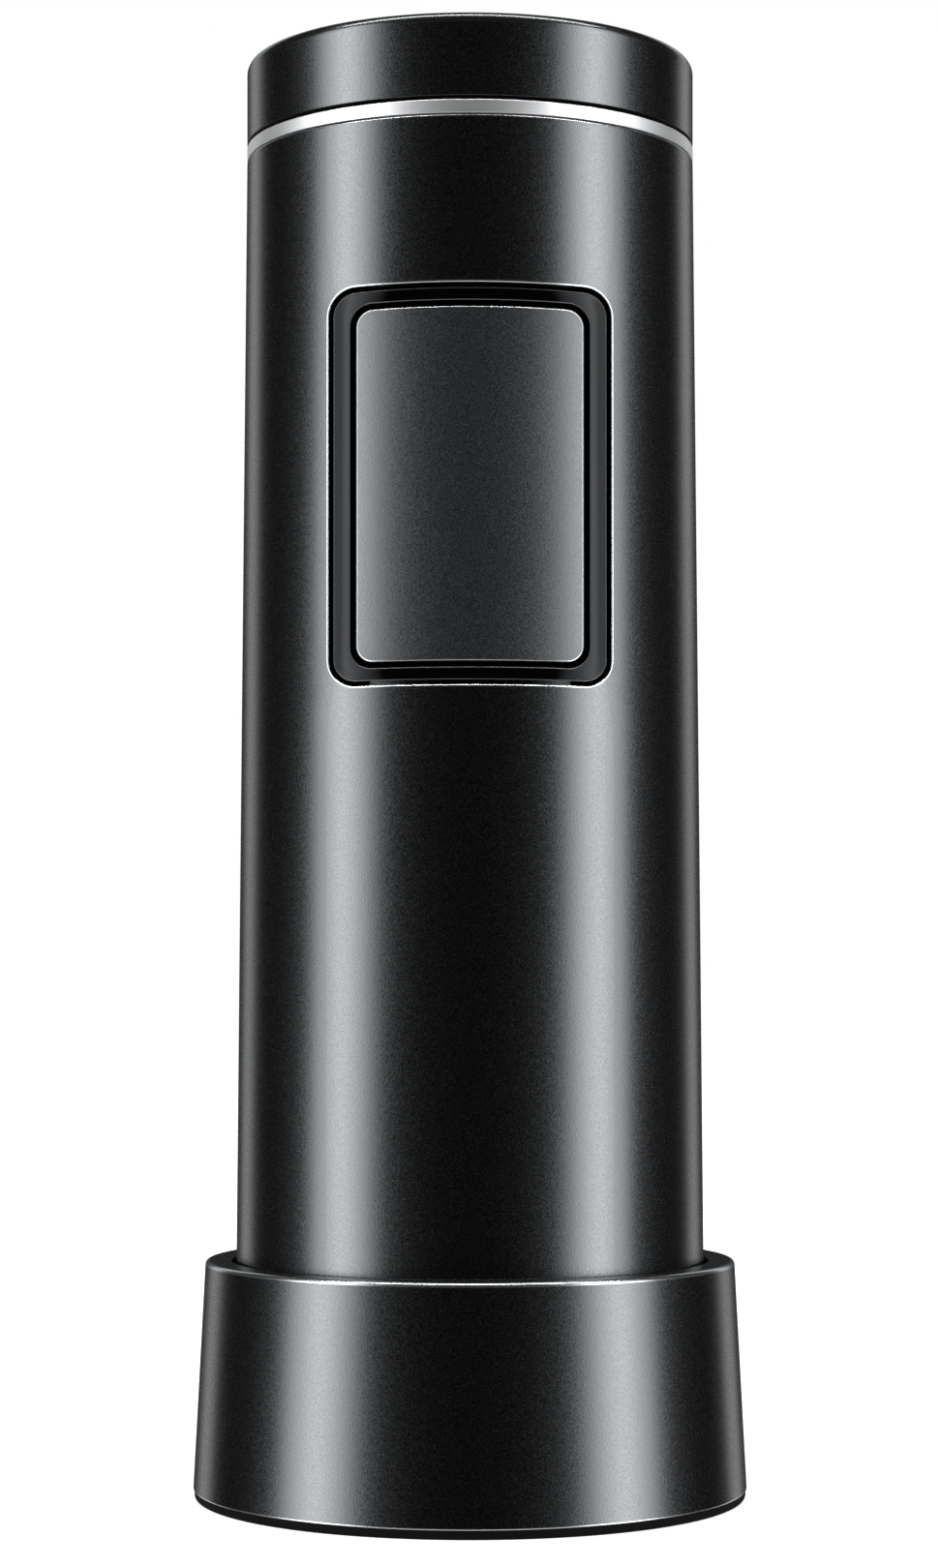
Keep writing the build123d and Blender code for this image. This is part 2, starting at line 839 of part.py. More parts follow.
def inner_frame():
    ring = Circle(inner_radius) - Circle(frame_ring_bore)
    top_plate_low = frame_high - frame_plate
    solids = [Pos(0, 0, z) * extrude(ring, frame_plate) for z in (frame_low, top_plate_low)]
    for side in (-1, 1):
        low_x, high_x = sorted((side * rail_inner, side * rail_outer))
        front = -math.sqrt(inner_radius**2 - rail_outer**2)
        solids.append(block(low_x, high_x, front, rail_back, frame_low, frame_high))
    solids.append(block(-rail_inner - slip, rail_inner + slip, web_front, web_back, frame_low, frame_high))
    half = port_board_width / 2 + port_shelf_side
    reach = math.sqrt(inner_radius**2 - half**2)
    solids.append(block(-half, half, web_front + slip, reach, shelf_low, port_board_low))
    for x, z in board_screw_places():
        boss = extrude(Circle(board_boss_radius), web_front + slip - board_back)
        solids.append(Pos(x, board_back, z) * Rot(-90, 0, 0) * boss)
    for angle in leg_angles:
        x, y = on_circle(frame_foot_circle, angle)
        solids.append(rod(x, y, frame_foot_radius, cover_high, frame_low + slip))
    half = cell_radius + saddle_side
    for z in (cell_low + saddle_width, cell_high - 2 * saddle_width):
        solids.append(block(-half, half, web_front + slip, cell_axis_y, z, z + saddle_width))
    cuts = [Pos(0, cell_axis_y, 0) * disc(cell_radius + cell_pad_thickness, cell_low, cell_high)]
    for x, z in board_screw_places():
        hole = extrude(Circle(board_screw_radius), web_back - board_back + slip)
        cuts.append(Pos(x, board_back, z) * Rot(-90, 0, 0) * hole)
    low = cell_high + cell_cap_height
    half = lead_window_half_width
    cuts.append(block(-half, half, web_front - slip, web_back + slip, low, low + lead_window_height))
    half = ribbon_width / 2 + cable_clearance
    front = cable_plane - cable_clearance
    for low in (frame_low - slip, top_plate_low - slip):
        cuts.append(block(-half, half, front, web_front - slip, low, low + frame_plate + 2 * slip))
    low = port_low - port_board_thickness + slip
    cuts.append(block(-half, half, web_front - slip, web_back + slip, low, low + socket_length))
    half = leg_width / 2 + slip
    for angle in leg_angles:
        notch = block(leg_inner - 2 * slip, barrel_bore, -half, half, top_plate_low - slip, frame_high + slip)
        cuts.append(Rot(0, 0, angle) * notch)
    for angle in screw_angles:
        x, y = on_circle(deck_screw_circle, angle)
        cuts.append(rod(x, y, deck_screw_radius, top_plate_low - slip, frame_high + slip))
    return solids[0].fuse(*solids[1:]).cut(*cuts)


def main_board():
    board = block(-board_half_width, board_half_width, board_front, board_back, board_low, board_high)
    for x, z in board_screw_places():
        hole = extrude(Circle(board_screw_radius + fit_gap), board_thickness)
        board -= Pos(x, board_back, z) * Rot(90, 0, 0) * hole
    return board


def board_screws():
    screws = []
    for x, z in board_screw_places():
        screw = pan_screw(board_screw_radius - fit_gap, web_front - board_front)
        screws.append(Pos(x, board_front, z) * Rot(90, 0, 0) * screw)
    return Compound(children=screws)


def chip(x, z, width, height, thickness):
    """A flat package on the back face of the main board, centred at x and z."""
    back = board_back + thickness
    return block(x - width / 2, x + width / 2, board_back, back, z - height / 2, z + height / 2)


def passive_row(row):
    """The height of a row of the small parts above the processor."""
    return board_low + processor_lift + processor_size + passive_row_pitch * row


def board_chips():
    """The processor, with the charger and the memory above the small parts."""
    upper = passive_row(passive_rows - 1) + passive_height / 2 + chip_row_gap + memory_height / 2
    processor = chip(0, board_low + processor_lift, processor_size, processor_size, chip_thickness)
    charger = chip(charger_x, upper, charger_size, charger_size, chip_thickness)
    memory = chip(memory_x, upper, memory_width, memory_height, chip_thickness)
    return Compound(children=[processor, charger, memory])


def radio_module():
    return chip(0, board_low + radio_lift, radio_width, radio_height, radio_thickness)


def board_passives():
    """The small resistors, capacitors and coils beside the chips."""
    parts = []
    for row in range(passive_rows):
        for column in range(passive_columns):
            x = (column - (passive_columns - 1) / 2) * passive_column_pitch
            parts.append(chip(x, passive_row(row), passive_width, passive_height, passive_thickness))
    return Compound(children=parts)


def battery_cell():
    body = Pos(0, cell_axis_y, 0) * disc(cell_radius, cell_low, cell_high)
    ends = circle_edges(body, cell_radius, cell_low) + circle_edges(body, cell_radius, cell_high)
    body = fillet(ends, cell_edge)
    return body + Pos(0, cell_axis_y, 0) * disc(cell_cap_radius, cell_high, cell_high + cell_cap_height)


def battery_pad():
    """The thin foam between the cell and the frame behind it, curved to the cell."""
    shell = Pos(0, cell_axis_y, 0) * tube(cell_radius, cell_radius + cell_pad_thickness, cell_low, cell_high)
    low = cell_low + 2 * saddle_width + pad_end_gap
    high = cell_high - 2 * saddle_width - pad_end_gap
    half = pad_width / 2
    return shell & block(-half, half, web_back, cell_axis_y - cell_radius / 2, low, high)


def battery_leads():
    """Two insulated leads from the cell's upper end, through the frame, down to their plug."""
    start_y = cell_axis_y - cell_cap_radius - lead_setback
    high = cell_high + cell_cap_height + lead_rise
    end_y = board_back + lead_socket_depth
    leads = []
    for x in (-lead_spacing / 2, lead_spacing / 2):
        points = ((x, start_y, cell_high), (x, start_y, high), (x, end_y, high))
        path = FilletPolyline(*points, radius=lead_bend)
        section = Plane(path @ 0, z_dir=path % 0) * Circle(lead_radius)
        leads.append(sweep(section, path))
    return Compound(children=leads)


def battery_socket():
    z = cell_high + cell_cap_height + lead_rise
    return chip(0, z, lead_socket_width, lead_socket_height, lead_socket_depth)


# Charging port

def port_board():
    half = port_board_width / 2
    back = barrel_bore - 2 * slip
    front = back - port_board_length
    board = block(-half, half, front, back, port_board_low, port_low)
    return board & disc(inner_radius, port_board_low, port_low)


def port_ribbon():
    """The short flat strip from the port's board through the frame to the main board."""
    half = ribbon_width / 2
    back = barrel_bore - 2 * slip - port_board_length + port_landing
    return block(-half, half, board_back + socket_depth, back, port_low, port_low + ribbon_thickness)


def port_mouth():
    """Y of the port's open end, just inside the barrel's outer face."""
    return barrel_radius(port_centre) - port_recess


def port_outline(width, height, front, back):
    outline = RectangleRounded(width, height, height / 2 - slip / 2)
    return Pos(0, back, port_centre) * Rot(90, 0, 0) * extrude(outline, back - front)


def port_shell_part():
    mouth = port_mouth()
    back = mouth - port_depth
    outer = port_outline(port_width, port_height, back, mouth)
    inner = port_outline(port_width - 2 * port_shell, port_height - 2 * port_shell, back + port_shell, mouth)
    return outer - inner


def port_tongue():
    mouth = port_mouth()
    back = mouth - port_depth + port_shell
    half = tongue_width / 2
    low = port_centre - tongue_thickness / 2
    return block(-half, half, back, mouth - tongue_setback, low, low + tongue_thickness)


# Polished ring and push button

def trim_ring():
    flange = tube(ring_bore, barrel_top_radius, ring_low, ring_high)
    flange = chamfer(circle_edges(flange, barrel_top_radius, ring_high), ring_edge)
    flange = chamfer(circle_edges(flange, barrel_top_radius, ring_low), ring_edge)
    return flange + tube(ring_bore, barrel_bore - fit_gap, deck_high, ring_low)


def switch_deck():
    deck = disc(barrel_bore - slip, deck_low, deck_high)
    for angle in screw_angles:
        x, y = on_circle(deck_screw_circle, angle)
        deck -= countersunk_hole(x, y, deck_high, deck_screw_radius, deck_thickness)
    half = leg_width / 2 + slip
    for angle in leg_angles:
        slot = block(leg_inner - 2 * slip, leg_outer + slip, -half, half, deck_low, deck_high)
        deck -= Rot(0, 0, angle) * slot
    half = ribbon_width / 2 + cable_clearance
    front = cable_plane - cable_clearance
    return deck - block(-half, half, front, cable_plane + cable_clearance, deck_low, deck_high)


def deck_screws():
    length = deck_thickness + frame_plate
    screws = []
    for angle in screw_angles:
        x, y = on_circle(deck_screw_circle, angle)
        screws.append(countersunk_screw(x, y, deck_high, deck_screw_radius - fit_gap, length))
    return Compound(children=screws)


def switch_board():
    return disc(switch_board_radius, deck_high, switch_board_high)


def switch_ribbon():
    """The flat cable from the switch board down through the deck to the top of the main board."""
    high = switch_board_high + ribbon_thickness / 2
    end = (0, cable_plane, switch_socket_centre)
    return flat_cable((0, cable_plane + ribbon_landing, high), (0, cable_plane, high), end)


def switch_body():
    half = switch_size / 2
    body = block(-half, half, -half, half, switch_board_high, switch_high)
    body = chamfer(body.faces().sort_by(Axis.Z)[-1].edges(), switch_edge)
    well_low = switch_high - plunger_depth - button_travel - slip
    return body - disc(plunger_radius + fit_gap, well_low, switch_high)


def switch_legs():
    legs = []
    half = switch_leg_width / 2
    leg_high = switch_board_high + switch_size / 3
    for side in (-1, 1):
        inner = side * switch_size / 2
        low_x, high_x = sorted((inner, inner + side * switch_leg_thickness))
        for y in (-switch_leg_pitch / 2, switch_leg_pitch / 2):
            legs.append(block(low_x, high_x, y - half, y + half, switch_board_high, leg_high))
    return legs


def tact_switch():
    """The small tactile switch with its four legs, soldered to its board."""
    return Compound(children=[switch_body()] + switch_legs())


def switch_plunger():
    return disc(plunger_radius, switch_high - plunger_depth, plunger_high)


def button_core():
    core = disc(barrel_top_radius - cap_wall - slip, core_low, cap_ceiling)
    core += disc(core_stem_radius, plunger_high, core_low)
    for angle in leg_angles:
        half = leg_width / 2
        barb_low = deck_low - fit_gap - leg_barb_height
        leg = block(leg_inner, leg_outer, -half, half, barb_low, core_low)
        barb = block(leg_outer, leg_outer + leg_barb, -half, half, barb_low, deck_low - fit_gap)
        core += Rot(0, 0, angle) * (leg + barb)
    return core


def button_cap():
    outer = disc(barrel_top_radius, cap_low, cap_high)
    outer = chamfer(circle_edges(outer, barrel_top_radius, cap_high), cap_top_edge)
    outer = chamfer(circle_edges(outer, barrel_top_radius, cap_low), cap_skirt_edge)
    outer -= disc(barrel_top_radius - cap_wall, cap_low, cap_ceiling)
    ball = (dish_radius**2 + dish_depth**2) / (2 * dish_depth)
    return outer - Pos(0, 0, cap_high - dish_depth + ball) * Sphere(ball)


NODES = {
    "base_shell": base_shell,
    "base_foot_pad": base_foot_pad,
    "base_plate": base_plate,
    "base_liner": base_liner,
    "base_screws": base_screws,
    "tile_cushion": tile_cushion,
    "calibration_tile": calibration_tile,
    "grip_ring": grip_ring,
    "barrel": barrel,
    "window_bezel": window_bezel,
    "window_pane": window_pane,
    "window_gasket": window_gasket,
    "display_panel": display_panel,
    "display_backlight": display_backlight,
    "display_carrier": display_carrier,
    "display_ribbon": display_ribbon,
    "ribbon_sockets": ribbon_sockets,
    "nose_plate": nose_plate,
    "nose_seal": nose_seal,
    "aperture_ring": aperture_ring,
    "aperture_glass": aperture_glass,
    "head_housing": head_housing,
    "light_guide": light_guide,
    "lamp_board": lamp_board,
    "lamps": lamps,
    "head_cover": head_cover,
    "head_screws": head_screws,
    "detector_tube": detector_tube,
    "detector_lens": detector_lens,
    "infrared_filter": infrared_filter,
    "sensor_board": sensor_board,
    "colour_sensor": colour_sensor,
    "sensor_spacers": sensor_spacers,
    "sensor_screws": sensor_screws,
    "sensor_ribbon": sensor_ribbon,
    "lamp_pins": lamp_pins,
    "inner_frame": inner_frame,
    "main_board": main_board,
    "board_screws": board_screws,
    "board_chips": board_chips,
    "radio_module": radio_module,
    "board_passives": board_passives,
    "battery_cell": battery_cell,
    "battery_pad": battery_pad,
    "battery_leads": battery_leads,
    "battery_socket": battery_socket,
    "port_board": port_board,
    "port_ribbon": port_ribbon,
    "port_shell": port_shell_part,
    "port_tongue": port_tongue,
    "trim_ring": trim_ring,
    "switch_deck": switch_deck,
    "deck_screws": deck_screws,
    "switch_board": switch_board,
    "switch_ribbon": switch_ribbon,
    "tact_switch": tact_switch,
    "switch_plunger": switch_plunger,
    "button_core": button_core,
    "button_cap": button_cap,
}


def main():
    os.makedirs("parts", exist_ok=True)
    for name, make in NODES.items():
        export_step(make(), os.path.join("parts", name + ".step"))


main()
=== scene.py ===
import math

import bpy
import numpy as np
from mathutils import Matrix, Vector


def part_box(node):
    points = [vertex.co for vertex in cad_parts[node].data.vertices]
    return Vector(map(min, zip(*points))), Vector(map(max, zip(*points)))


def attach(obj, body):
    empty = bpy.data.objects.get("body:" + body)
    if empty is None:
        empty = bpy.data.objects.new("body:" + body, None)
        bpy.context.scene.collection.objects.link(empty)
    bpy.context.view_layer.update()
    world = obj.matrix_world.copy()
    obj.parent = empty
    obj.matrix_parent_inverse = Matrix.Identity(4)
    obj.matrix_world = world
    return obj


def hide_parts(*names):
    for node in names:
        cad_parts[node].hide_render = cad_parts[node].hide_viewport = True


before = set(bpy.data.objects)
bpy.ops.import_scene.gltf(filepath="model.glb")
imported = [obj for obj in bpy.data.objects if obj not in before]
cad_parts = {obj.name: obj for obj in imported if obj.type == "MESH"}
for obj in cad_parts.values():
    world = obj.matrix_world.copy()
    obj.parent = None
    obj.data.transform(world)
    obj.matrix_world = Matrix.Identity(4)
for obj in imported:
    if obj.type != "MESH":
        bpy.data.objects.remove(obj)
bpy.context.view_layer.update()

# The camera stands in front of the display, level, a little above the base.
# It was fitted to the curves of the rims: the frame is raised by a shift, not by a tilt.
eye_distance = 0.2445
eye_height = 0.03813
image_height_px = 1620
focal_px = 3621
horizon_px = 979.4
near_clip = 0.01

camera_data = bpy.data.cameras.new("camera")
camera_data.sensor_width = 36.0
camera_data.lens = 36.0 * focal_px / image_height_px
camera_data.shift_y = (horizon_px - image_height_px / 2) / image_height_px
camera_data.clip_start = near_clip
camera = bpy.data.objects.new("camera", camera_data)
camera.location = (0.0, -eye_distance, eye_height)
camera.rotation_euler = (math.pi / 2, 0.0, 0.0)
bpy.context.scene.collection.objects.link(camera)
bpy.context.scene.camera = camera
bpy.context.scene.view_settings.view_transform = "Standard"

# The studio: a white backdrop all round for the camera. What the metal reflects is the dark of the
# room, a white card on each side behind the object, which lights its rims, and the table below.
backdrop_level = 1.0
room_level = 0.004
rim_level = 0.9
far_share = 0.03
table_level = 0.7
fill_level = 0.10

# Where the cards and the table begin and end, in the parts of a direction that point back or up
rim_card_start = (0.68, 0.74)
rim_card_end = (0.83, 0.90)
rim_card_top = (0.52, 0.68)
table_edge = (-0.55, -0.85)

world = bpy.data.worlds.new("studio")
bpy.context.scene.world = world
world.use_nodes = True
nodes, links = world.node_tree.nodes, world.node_tree.links
nodes.clear()
direction = nodes.new("ShaderNodeTexCoord")
axes = nodes.new("ShaderNodeSeparateXYZ")
links.new(direction.outputs["Generated"], axes.inputs[0])


def step(socket, start, end, low, high):
    """A smooth step of the world's shader from one level to another."""
    node = nodes.new("ShaderNodeMapRange")
    node.interpolation_type = "SMOOTHSTEP"
    for name, value in (("From Min", start), ("From Max", end), ("To Min", low), ("To Max", high)):
        node.inputs[name].default_value = value
    links.new(socket, node.inputs["Value"])
    return node.outputs["Result"]


def combine(operation, first, second):
    """Two numbers of the world's shader joined by one operation."""
    node = nodes.new("ShaderNodeMath")
    node.operation = operation
    links.new(first, node.inputs[0])
    links.new(second, node.inputs[1])
    return node.outputs[0]


start = step(axes.outputs["Y"], *rim_card_start, 0, rim_level)
end = step(axes.outputs["Y"], *rim_card_end, 1, far_share)
top = step(axes.outputs["Z"], *rim_card_top, 1, 0)
card = combine("MULTIPLY", combine("MULTIPLY", start, end), top)
below = step(axes.outputs["Z"], *table_edge, room_level, table_level)
around = combine("MAXIMUM", card, below)
path = nodes.new("ShaderNodeLightPath")
glossy = nodes.new("ShaderNodeBackground")
links.new(around, glossy.inputs["Strength"])
white = nodes.new("ShaderNodeBackground")
white.inputs["Strength"].default_value = backdrop_level
soft = nodes.new("ShaderNodeBackground")
soft.inputs["Strength"].default_value = fill_level
reflected = nodes.new("ShaderNodeMixShader")
links.new(path.outputs["Is Glossy Ray"], reflected.inputs["Fac"])
links.new(soft.outputs[0], reflected.inputs[1])
links.new(glossy.outputs[0], reflected.inputs[2])
direct = nodes.new("ShaderNodeMath")
direct.operation = "MAXIMUM"
links.new(path.outputs["Is Camera Ray"], direct.inputs[0])
links.new(path.outputs["Is Transmission Ray"], direct.inputs[1])
seen = nodes.new("ShaderNodeMixShader")
links.new(direct.outputs[0], seen.inputs["Fac"])
links.new(reflected.outputs[0], seen.inputs[1])
links.new(white.outputs[0], seen.inputs[2])
for lit in (glossy, white, soft):
    lit.inputs["Color"].default_value = (1.0, 1.0, 1.0, 1.0)
output = nodes.new("ShaderNodeOutputWorld")
links.new(seen.outputs[0], output.inputs["Surface"])

# The table is a plain white sheet that keeps the object's shadow. Mirrored light passes through
# it, so that the lamps' stripes run down to the foot of the object as on a polished table.
table_half = 3.0
table_glow = 0.72
table_grey = 0.55
glow_start, glow_end = 0.04, 0.35

table_material = bpy.data.materials.new("table_white")
table_material.use_nodes = True
nodes, links = table_material.node_tree.nodes, table_material.node_tree.links
nodes.clear()
paper = nodes.new("ShaderNodeBsdfDiffuse")
paper.inputs["Color"].default_value = (table_grey, table_grey, table_grey, 1.0)
glow = nodes.new("ShaderNodeEmission")
glow.inputs["Color"].default_value = (1.0, 1.0, 1.0, 1.0)
place = nodes.new("ShaderNodeTexCoord")
reach = nodes.new("ShaderNodeVectorMath")
reach.operation = "LENGTH"
links.new(place.outputs["Object"], reach.inputs[0])
sweep = nodes.new("ShaderNodeMapRange")
sweep.interpolation_type = "SMOOTHSTEP"
sweep.inputs["From Min"].default_value = glow_start
sweep.inputs["From Max"].default_value = glow_end
sweep.inputs["To Min"].default_value = table_glow
sweep.inputs["To Max"].default_value = backdrop_level
links.new(reach.outputs["Value"], sweep.inputs["Value"])
links.new(sweep.outputs["Result"], glow.inputs["Strength"])
lit = nodes.new("ShaderNodeAddShader")
links.new(paper.outputs[0], lit.inputs[0])
links.new(glow.outputs[0], lit.inputs[1])
path = nodes.new("ShaderNodeLightPath")
table_mix = nodes.new("ShaderNodeMixShader")
links.new(path.outputs["Is Camera Ray"], table_mix.inputs["Fac"])
links.new(paper.outputs[0], table_mix.inputs[1])
links.new(lit.outputs[0], table_mix.inputs[2])
output = nodes.new("ShaderNodeOutputMaterial")
links.new(table_mix.outputs[0], output.inputs["Surface"])

table_mesh = bpy.data.meshes.new("table")
table_corners = [(-1, -1, 0), (1, -1, 0), (1, 1, 0), (-1, 1, 0)]
table_points = [(x * table_half, y * table_half, z) for x, y, z in table_corners]
table_mesh.from_pydata(table_points, [], [(0, 1, 2, 3)])
table_mesh.materials.append(table_material)
table = bpy.data.objects.new("table", table_mesh)
table.visible_glossy = False
table.visible_shadow = False
bpy.context.scene.collection.objects.link(table)

# The lamps: a tall softbox on each side of the camera, brightest along its middle, which draws a
# soft stripe down each side of the barrel, and a long box overhead for the thin lines of the rims.
# The stops of side_glow are degrees round from the camera and a share of the lamp's radiance.
aim_height = 0.05
side_angle = 64.0
side_distance = 1.0
side_size = (0.73, 1.4)
side_radiance = 8.3
side_glow = ((44, 0.0), (67, 1.0), (73, 0.45), (80, 0.42), (84, 0.0))
top_distance = 0.9
top_lean = 5.5
top_size = (1.6, 0.09)
top_radiance = 28.0


def softbox(name, place, size, radiance):
    """A rectangular lamp of a stated radiance that faces the middle of the object."""
    lamp = bpy.data.lights.new(name, "AREA")
    lamp.shape = "RECTANGLE"
    lamp.size, lamp.size_y = size
    lamp.energy = radiance * math.pi * size[0] * size[1]
    box = bpy.data.objects.new(name, lamp)
    box.location = place
    towards = np.array((0.0, 0.0, aim_height)) - np.array(place)
    box.rotation_euler = (
        math.acos(-towards[2] / np.linalg.norm(towards)),
        0.0,
        math.atan2(towards[1], towards[0]) - math.pi / 2,
    )
    box.visible_camera = False
    bpy.context.scene.collection.objects.link(box)
    return lamp


def side_softbox(name, side):
    """A side lamp whose radiance follows the angle round from the camera, given at a few angles."""
    turn = math.radians(side_angle)
    spot = (side * side_distance * math.sin(turn), -side_distance * math.cos(turn), aim_height)
    lamp = softbox(name, spot, side_size, side_radiance)
    lamp.use_nodes = True
    nodes, links = lamp.node_tree.nodes, lamp.node_tree.links
    place = nodes.new("ShaderNodeNewGeometry")
    axes = nodes.new("ShaderNodeSeparateXYZ")
    links.new(place.outputs["Position"], axes.inputs[0])
    across, front = nodes.new("ShaderNodeMath"), nodes.new("ShaderNodeMath")
    across.operation, front.operation = "ABSOLUTE", "MULTIPLY"
    front.inputs[1].default_value = -1.0
    links.new(axes.outputs["X"], across.inputs[0])
    links.new(axes.outputs["Y"], front.inputs[0])
    angle = nodes.new("ShaderNodeMath")
    angle.operation = "ARCTAN2"
    links.new(across.outputs[0], angle.inputs[0])
    links.new(front.outputs[0], angle.inputs[1])
    share = nodes.new("ShaderNodeMath")
    share.operation = "DIVIDE"
    share.inputs[1].default_value = math.pi
    links.new(angle.outputs[0], share.inputs[0])
    ramp = nodes.new("ShaderNodeValToRGB")
    stops = ramp.color_ramp.elements
    while len(stops) < len(side_glow):
        stops.new(0.5)
    for stop, (degrees, level) in zip(stops, side_glow):
        stop.position = degrees / 180
        stop.color = (level, level, level, 1.0)
    links.new(share.outputs[0], ramp.inputs["Fac"])
    links.new(ramp.outputs["Color"], nodes["Emission"].inputs["Strength"])


for side, name in ((-1, "side_box_left"), (1, "side_box_right")):
    side_softbox(name, side)
lean = math.radians(top_lean)
overhead = (0.0, -top_distance * math.sin(lean), aim_height + top_distance * math.cos(lean))
softbox("top_box", overhead, top_size, top_radiance)

# The black finish of the barrel, the cap and the base is one: aluminium, bead blasted to a fine
# even grain and anodised black. Its cut edges are polished, and show as thin bright lines.
grain_detail = 2.0
grain_depth = 0.00005
edge_smooth = 0.1


def grain_group():
    """Fine mottling shared by every finish: a colour, a roughness and a bump that follow one noise."""
    group = bpy.data.node_groups.new("surface_grain", "ShaderNodeTree")
    kinds = {"Color": "NodeSocketColor", "Normal": "NodeSocketVector"}
    for name in ("Color", "Roughness", "Scale", "Shade", "Relief"):
        kind = kinds.get(name, "NodeSocketFloat")
        group.interface.new_socket(name, in_out="INPUT", socket_type=kind)
    for name in ("Color", "Roughness", "Normal"):
        kind = kinds.get(name, "NodeSocketFloat")
        group.interface.new_socket(name, in_out="OUTPUT", socket_type=kind)
    nodes, links = group.nodes, group.links
    given = nodes.new("NodeGroupInput")
    result = nodes.new("NodeGroupOutput")
    place = nodes.new("ShaderNodeTexCoord")
    fine = nodes.new("ShaderNodeTexNoise")
    fine.inputs["Detail"].default_value = grain_detail
    links.new(place.outputs["Object"], fine.inputs["Vector"])
    links.new(given.outputs["Scale"], fine.inputs["Scale"])
    swing = nodes.new("ShaderNodeMath")
    swing.operation = "SUBTRACT"
    swing.inputs[1].default_value = 0.5
    links.new(fine.outputs["Fac"], swing.inputs[0])
    amount = nodes.new("ShaderNodeMath")
    amount.operation = "MULTIPLY_ADD"
    amount.inputs[2].default_value = 1.0
    links.new(swing.outputs[0], amount.inputs[0])
    links.new(given.outputs["Shade"], amount.inputs[1])
    tint = nodes.new("ShaderNodeVectorMath")
    tint.operation = "SCALE"
    links.new(given.outputs["Color"], tint.inputs[0])
    links.new(amount.outputs[0], tint.inputs["Scale"])
    links.new(tint.outputs[0], result.inputs["Color"])
    rough = nodes.new("ShaderNodeMath")
    rough.operation = "MULTIPLY"
    links.new(given.outputs["Roughness"], rough.inputs[0])
    links.new(amount.outputs[0], rough.inputs[1])
    links.new(rough.outputs[0], result.inputs["Roughness"])
    relief = nodes.new("ShaderNodeBump")
    relief.inputs["Distance"].default_value = grain_depth
    links.new(given.outputs["Relief"], relief.inputs["Strength"])
    links.new(fine.outputs["Fac"], relief.inputs["Height"])
    links.new(relief.outputs["Normal"], result.inputs["Normal"])
    return group


grain = grain_group()


def finish(name, color, roughness, metallic=0, specular=0.5, ior=1.5, tint=(1, 1, 1), scale=4000,
           shade=0.15, relief=0.05):
    """A material with the shared grain, its constant values set on the shader itself."""
    material = bpy.data.materials.new(name)
    material.use_nodes = True
    nodes, links = material.node_tree.nodes, material.node_tree.links
    shader = nodes["Principled BSDF"]
    shader.inputs["Metallic"].default_value = metallic
    shader.inputs["Specular IOR Level"].default_value = specular
    shader.inputs["Specular Tint"].default_value = (*tint, 1.0)
    shader.inputs["IOR"].default_value = ior
    mottle = nodes.new("ShaderNodeGroup")
    mottle.name = "grain"
    mottle.node_tree = grain
    mottle.inputs["Color"].default_value = (*color, 1.0)
    mottle.inputs["Roughness"].default_value = roughness
    mottle.inputs["Scale"].default_value = scale
    mottle.inputs["Shade"].default_value = shade
    mottle.inputs["Relief"].default_value = relief
    links.new(mottle.outputs["Color"], shader.inputs["Base Color"])
    links.new(mottle.outputs["Roughness"], shader.inputs["Roughness"])
    links.new(mottle.outputs["Normal"], shader.inputs["Normal"])
    return material


def cut_edges(material, edge_color, edge_metal, edge_roughness):
    """Polished metal where the mesh's "edge" attribute marks a cut edge.

    The mark runs from 0 to 1. The colour follows it, finish + (edge - finish) * mark. The metal,
    the roughness and the loss of grain follow mark / edge_smooth, no more than 1."""
    nodes, links = material.node_tree.nodes, material.node_tree.links
    shader = nodes["Principled BSDF"]
    edge = nodes.new("ShaderNodeAttribute")
    edge.attribute_name = "edge"
    blend = nodes.new("ShaderNodeMix")
    blend.data_type = "RGBA"
    blend.inputs["B"].default_value = (*edge_color, 1.0)
    links.new(edge.outputs["Fac"], blend.inputs["Factor"])
    links.new(nodes["grain"].outputs["Color"], blend.inputs["A"])
    links.new(blend.outputs["Result"], shader.inputs["Base Color"])
    polish = nodes.new("ShaderNodeMapRange")
    polish.inputs["From Max"].default_value = edge_smooth
    links.new(edge.outputs["Fac"], polish.inputs["Value"])
    metal = nodes.new("ShaderNodeMath")
    metal.operation = "MULTIPLY"
    metal.inputs[1].default_value = edge_metal
    links.new(polish.outputs["Result"], metal.inputs[0])
    links.new(metal.outputs[0], shader.inputs["Metallic"])
    rough = nodes.new("ShaderNodeMix")
    rough.inputs["B"].default_value = edge_roughness
    links.new(polish.outputs["Result"], rough.inputs["Factor"])
    links.new(nodes["grain"].outputs["Roughness"], rough.inputs["A"])
    links.new(rough.outputs["Result"], shader.inputs["Roughness"])
    smooth = nodes.new("ShaderNodeMapRange")
    smooth.inputs["From Max"].default_value = edge_smooth
    smooth.inputs["To Min"].default_value = nodes["grain"].inputs["Relief"].default_value
    smooth.inputs["To Max"].default_value = 0.0
    links.new(edge.outputs["Fac"], smooth.inputs["Value"])
    links.new(smooth.outputs["Result"], nodes["grain"].inputs["Relief"])
    return material


cool = (0.92, 0.965, 1.0)
anodised = finish("black_anodised", (0.0005, 0.0005, 0.0006), 0.25, specular=1, ior=1.55, tint=cool,
                  scale=9000, shade=1.2, relief=0.10)
cut_edges(anodised, (0.80, 0.82, 0.84), 0.95, 0.22)

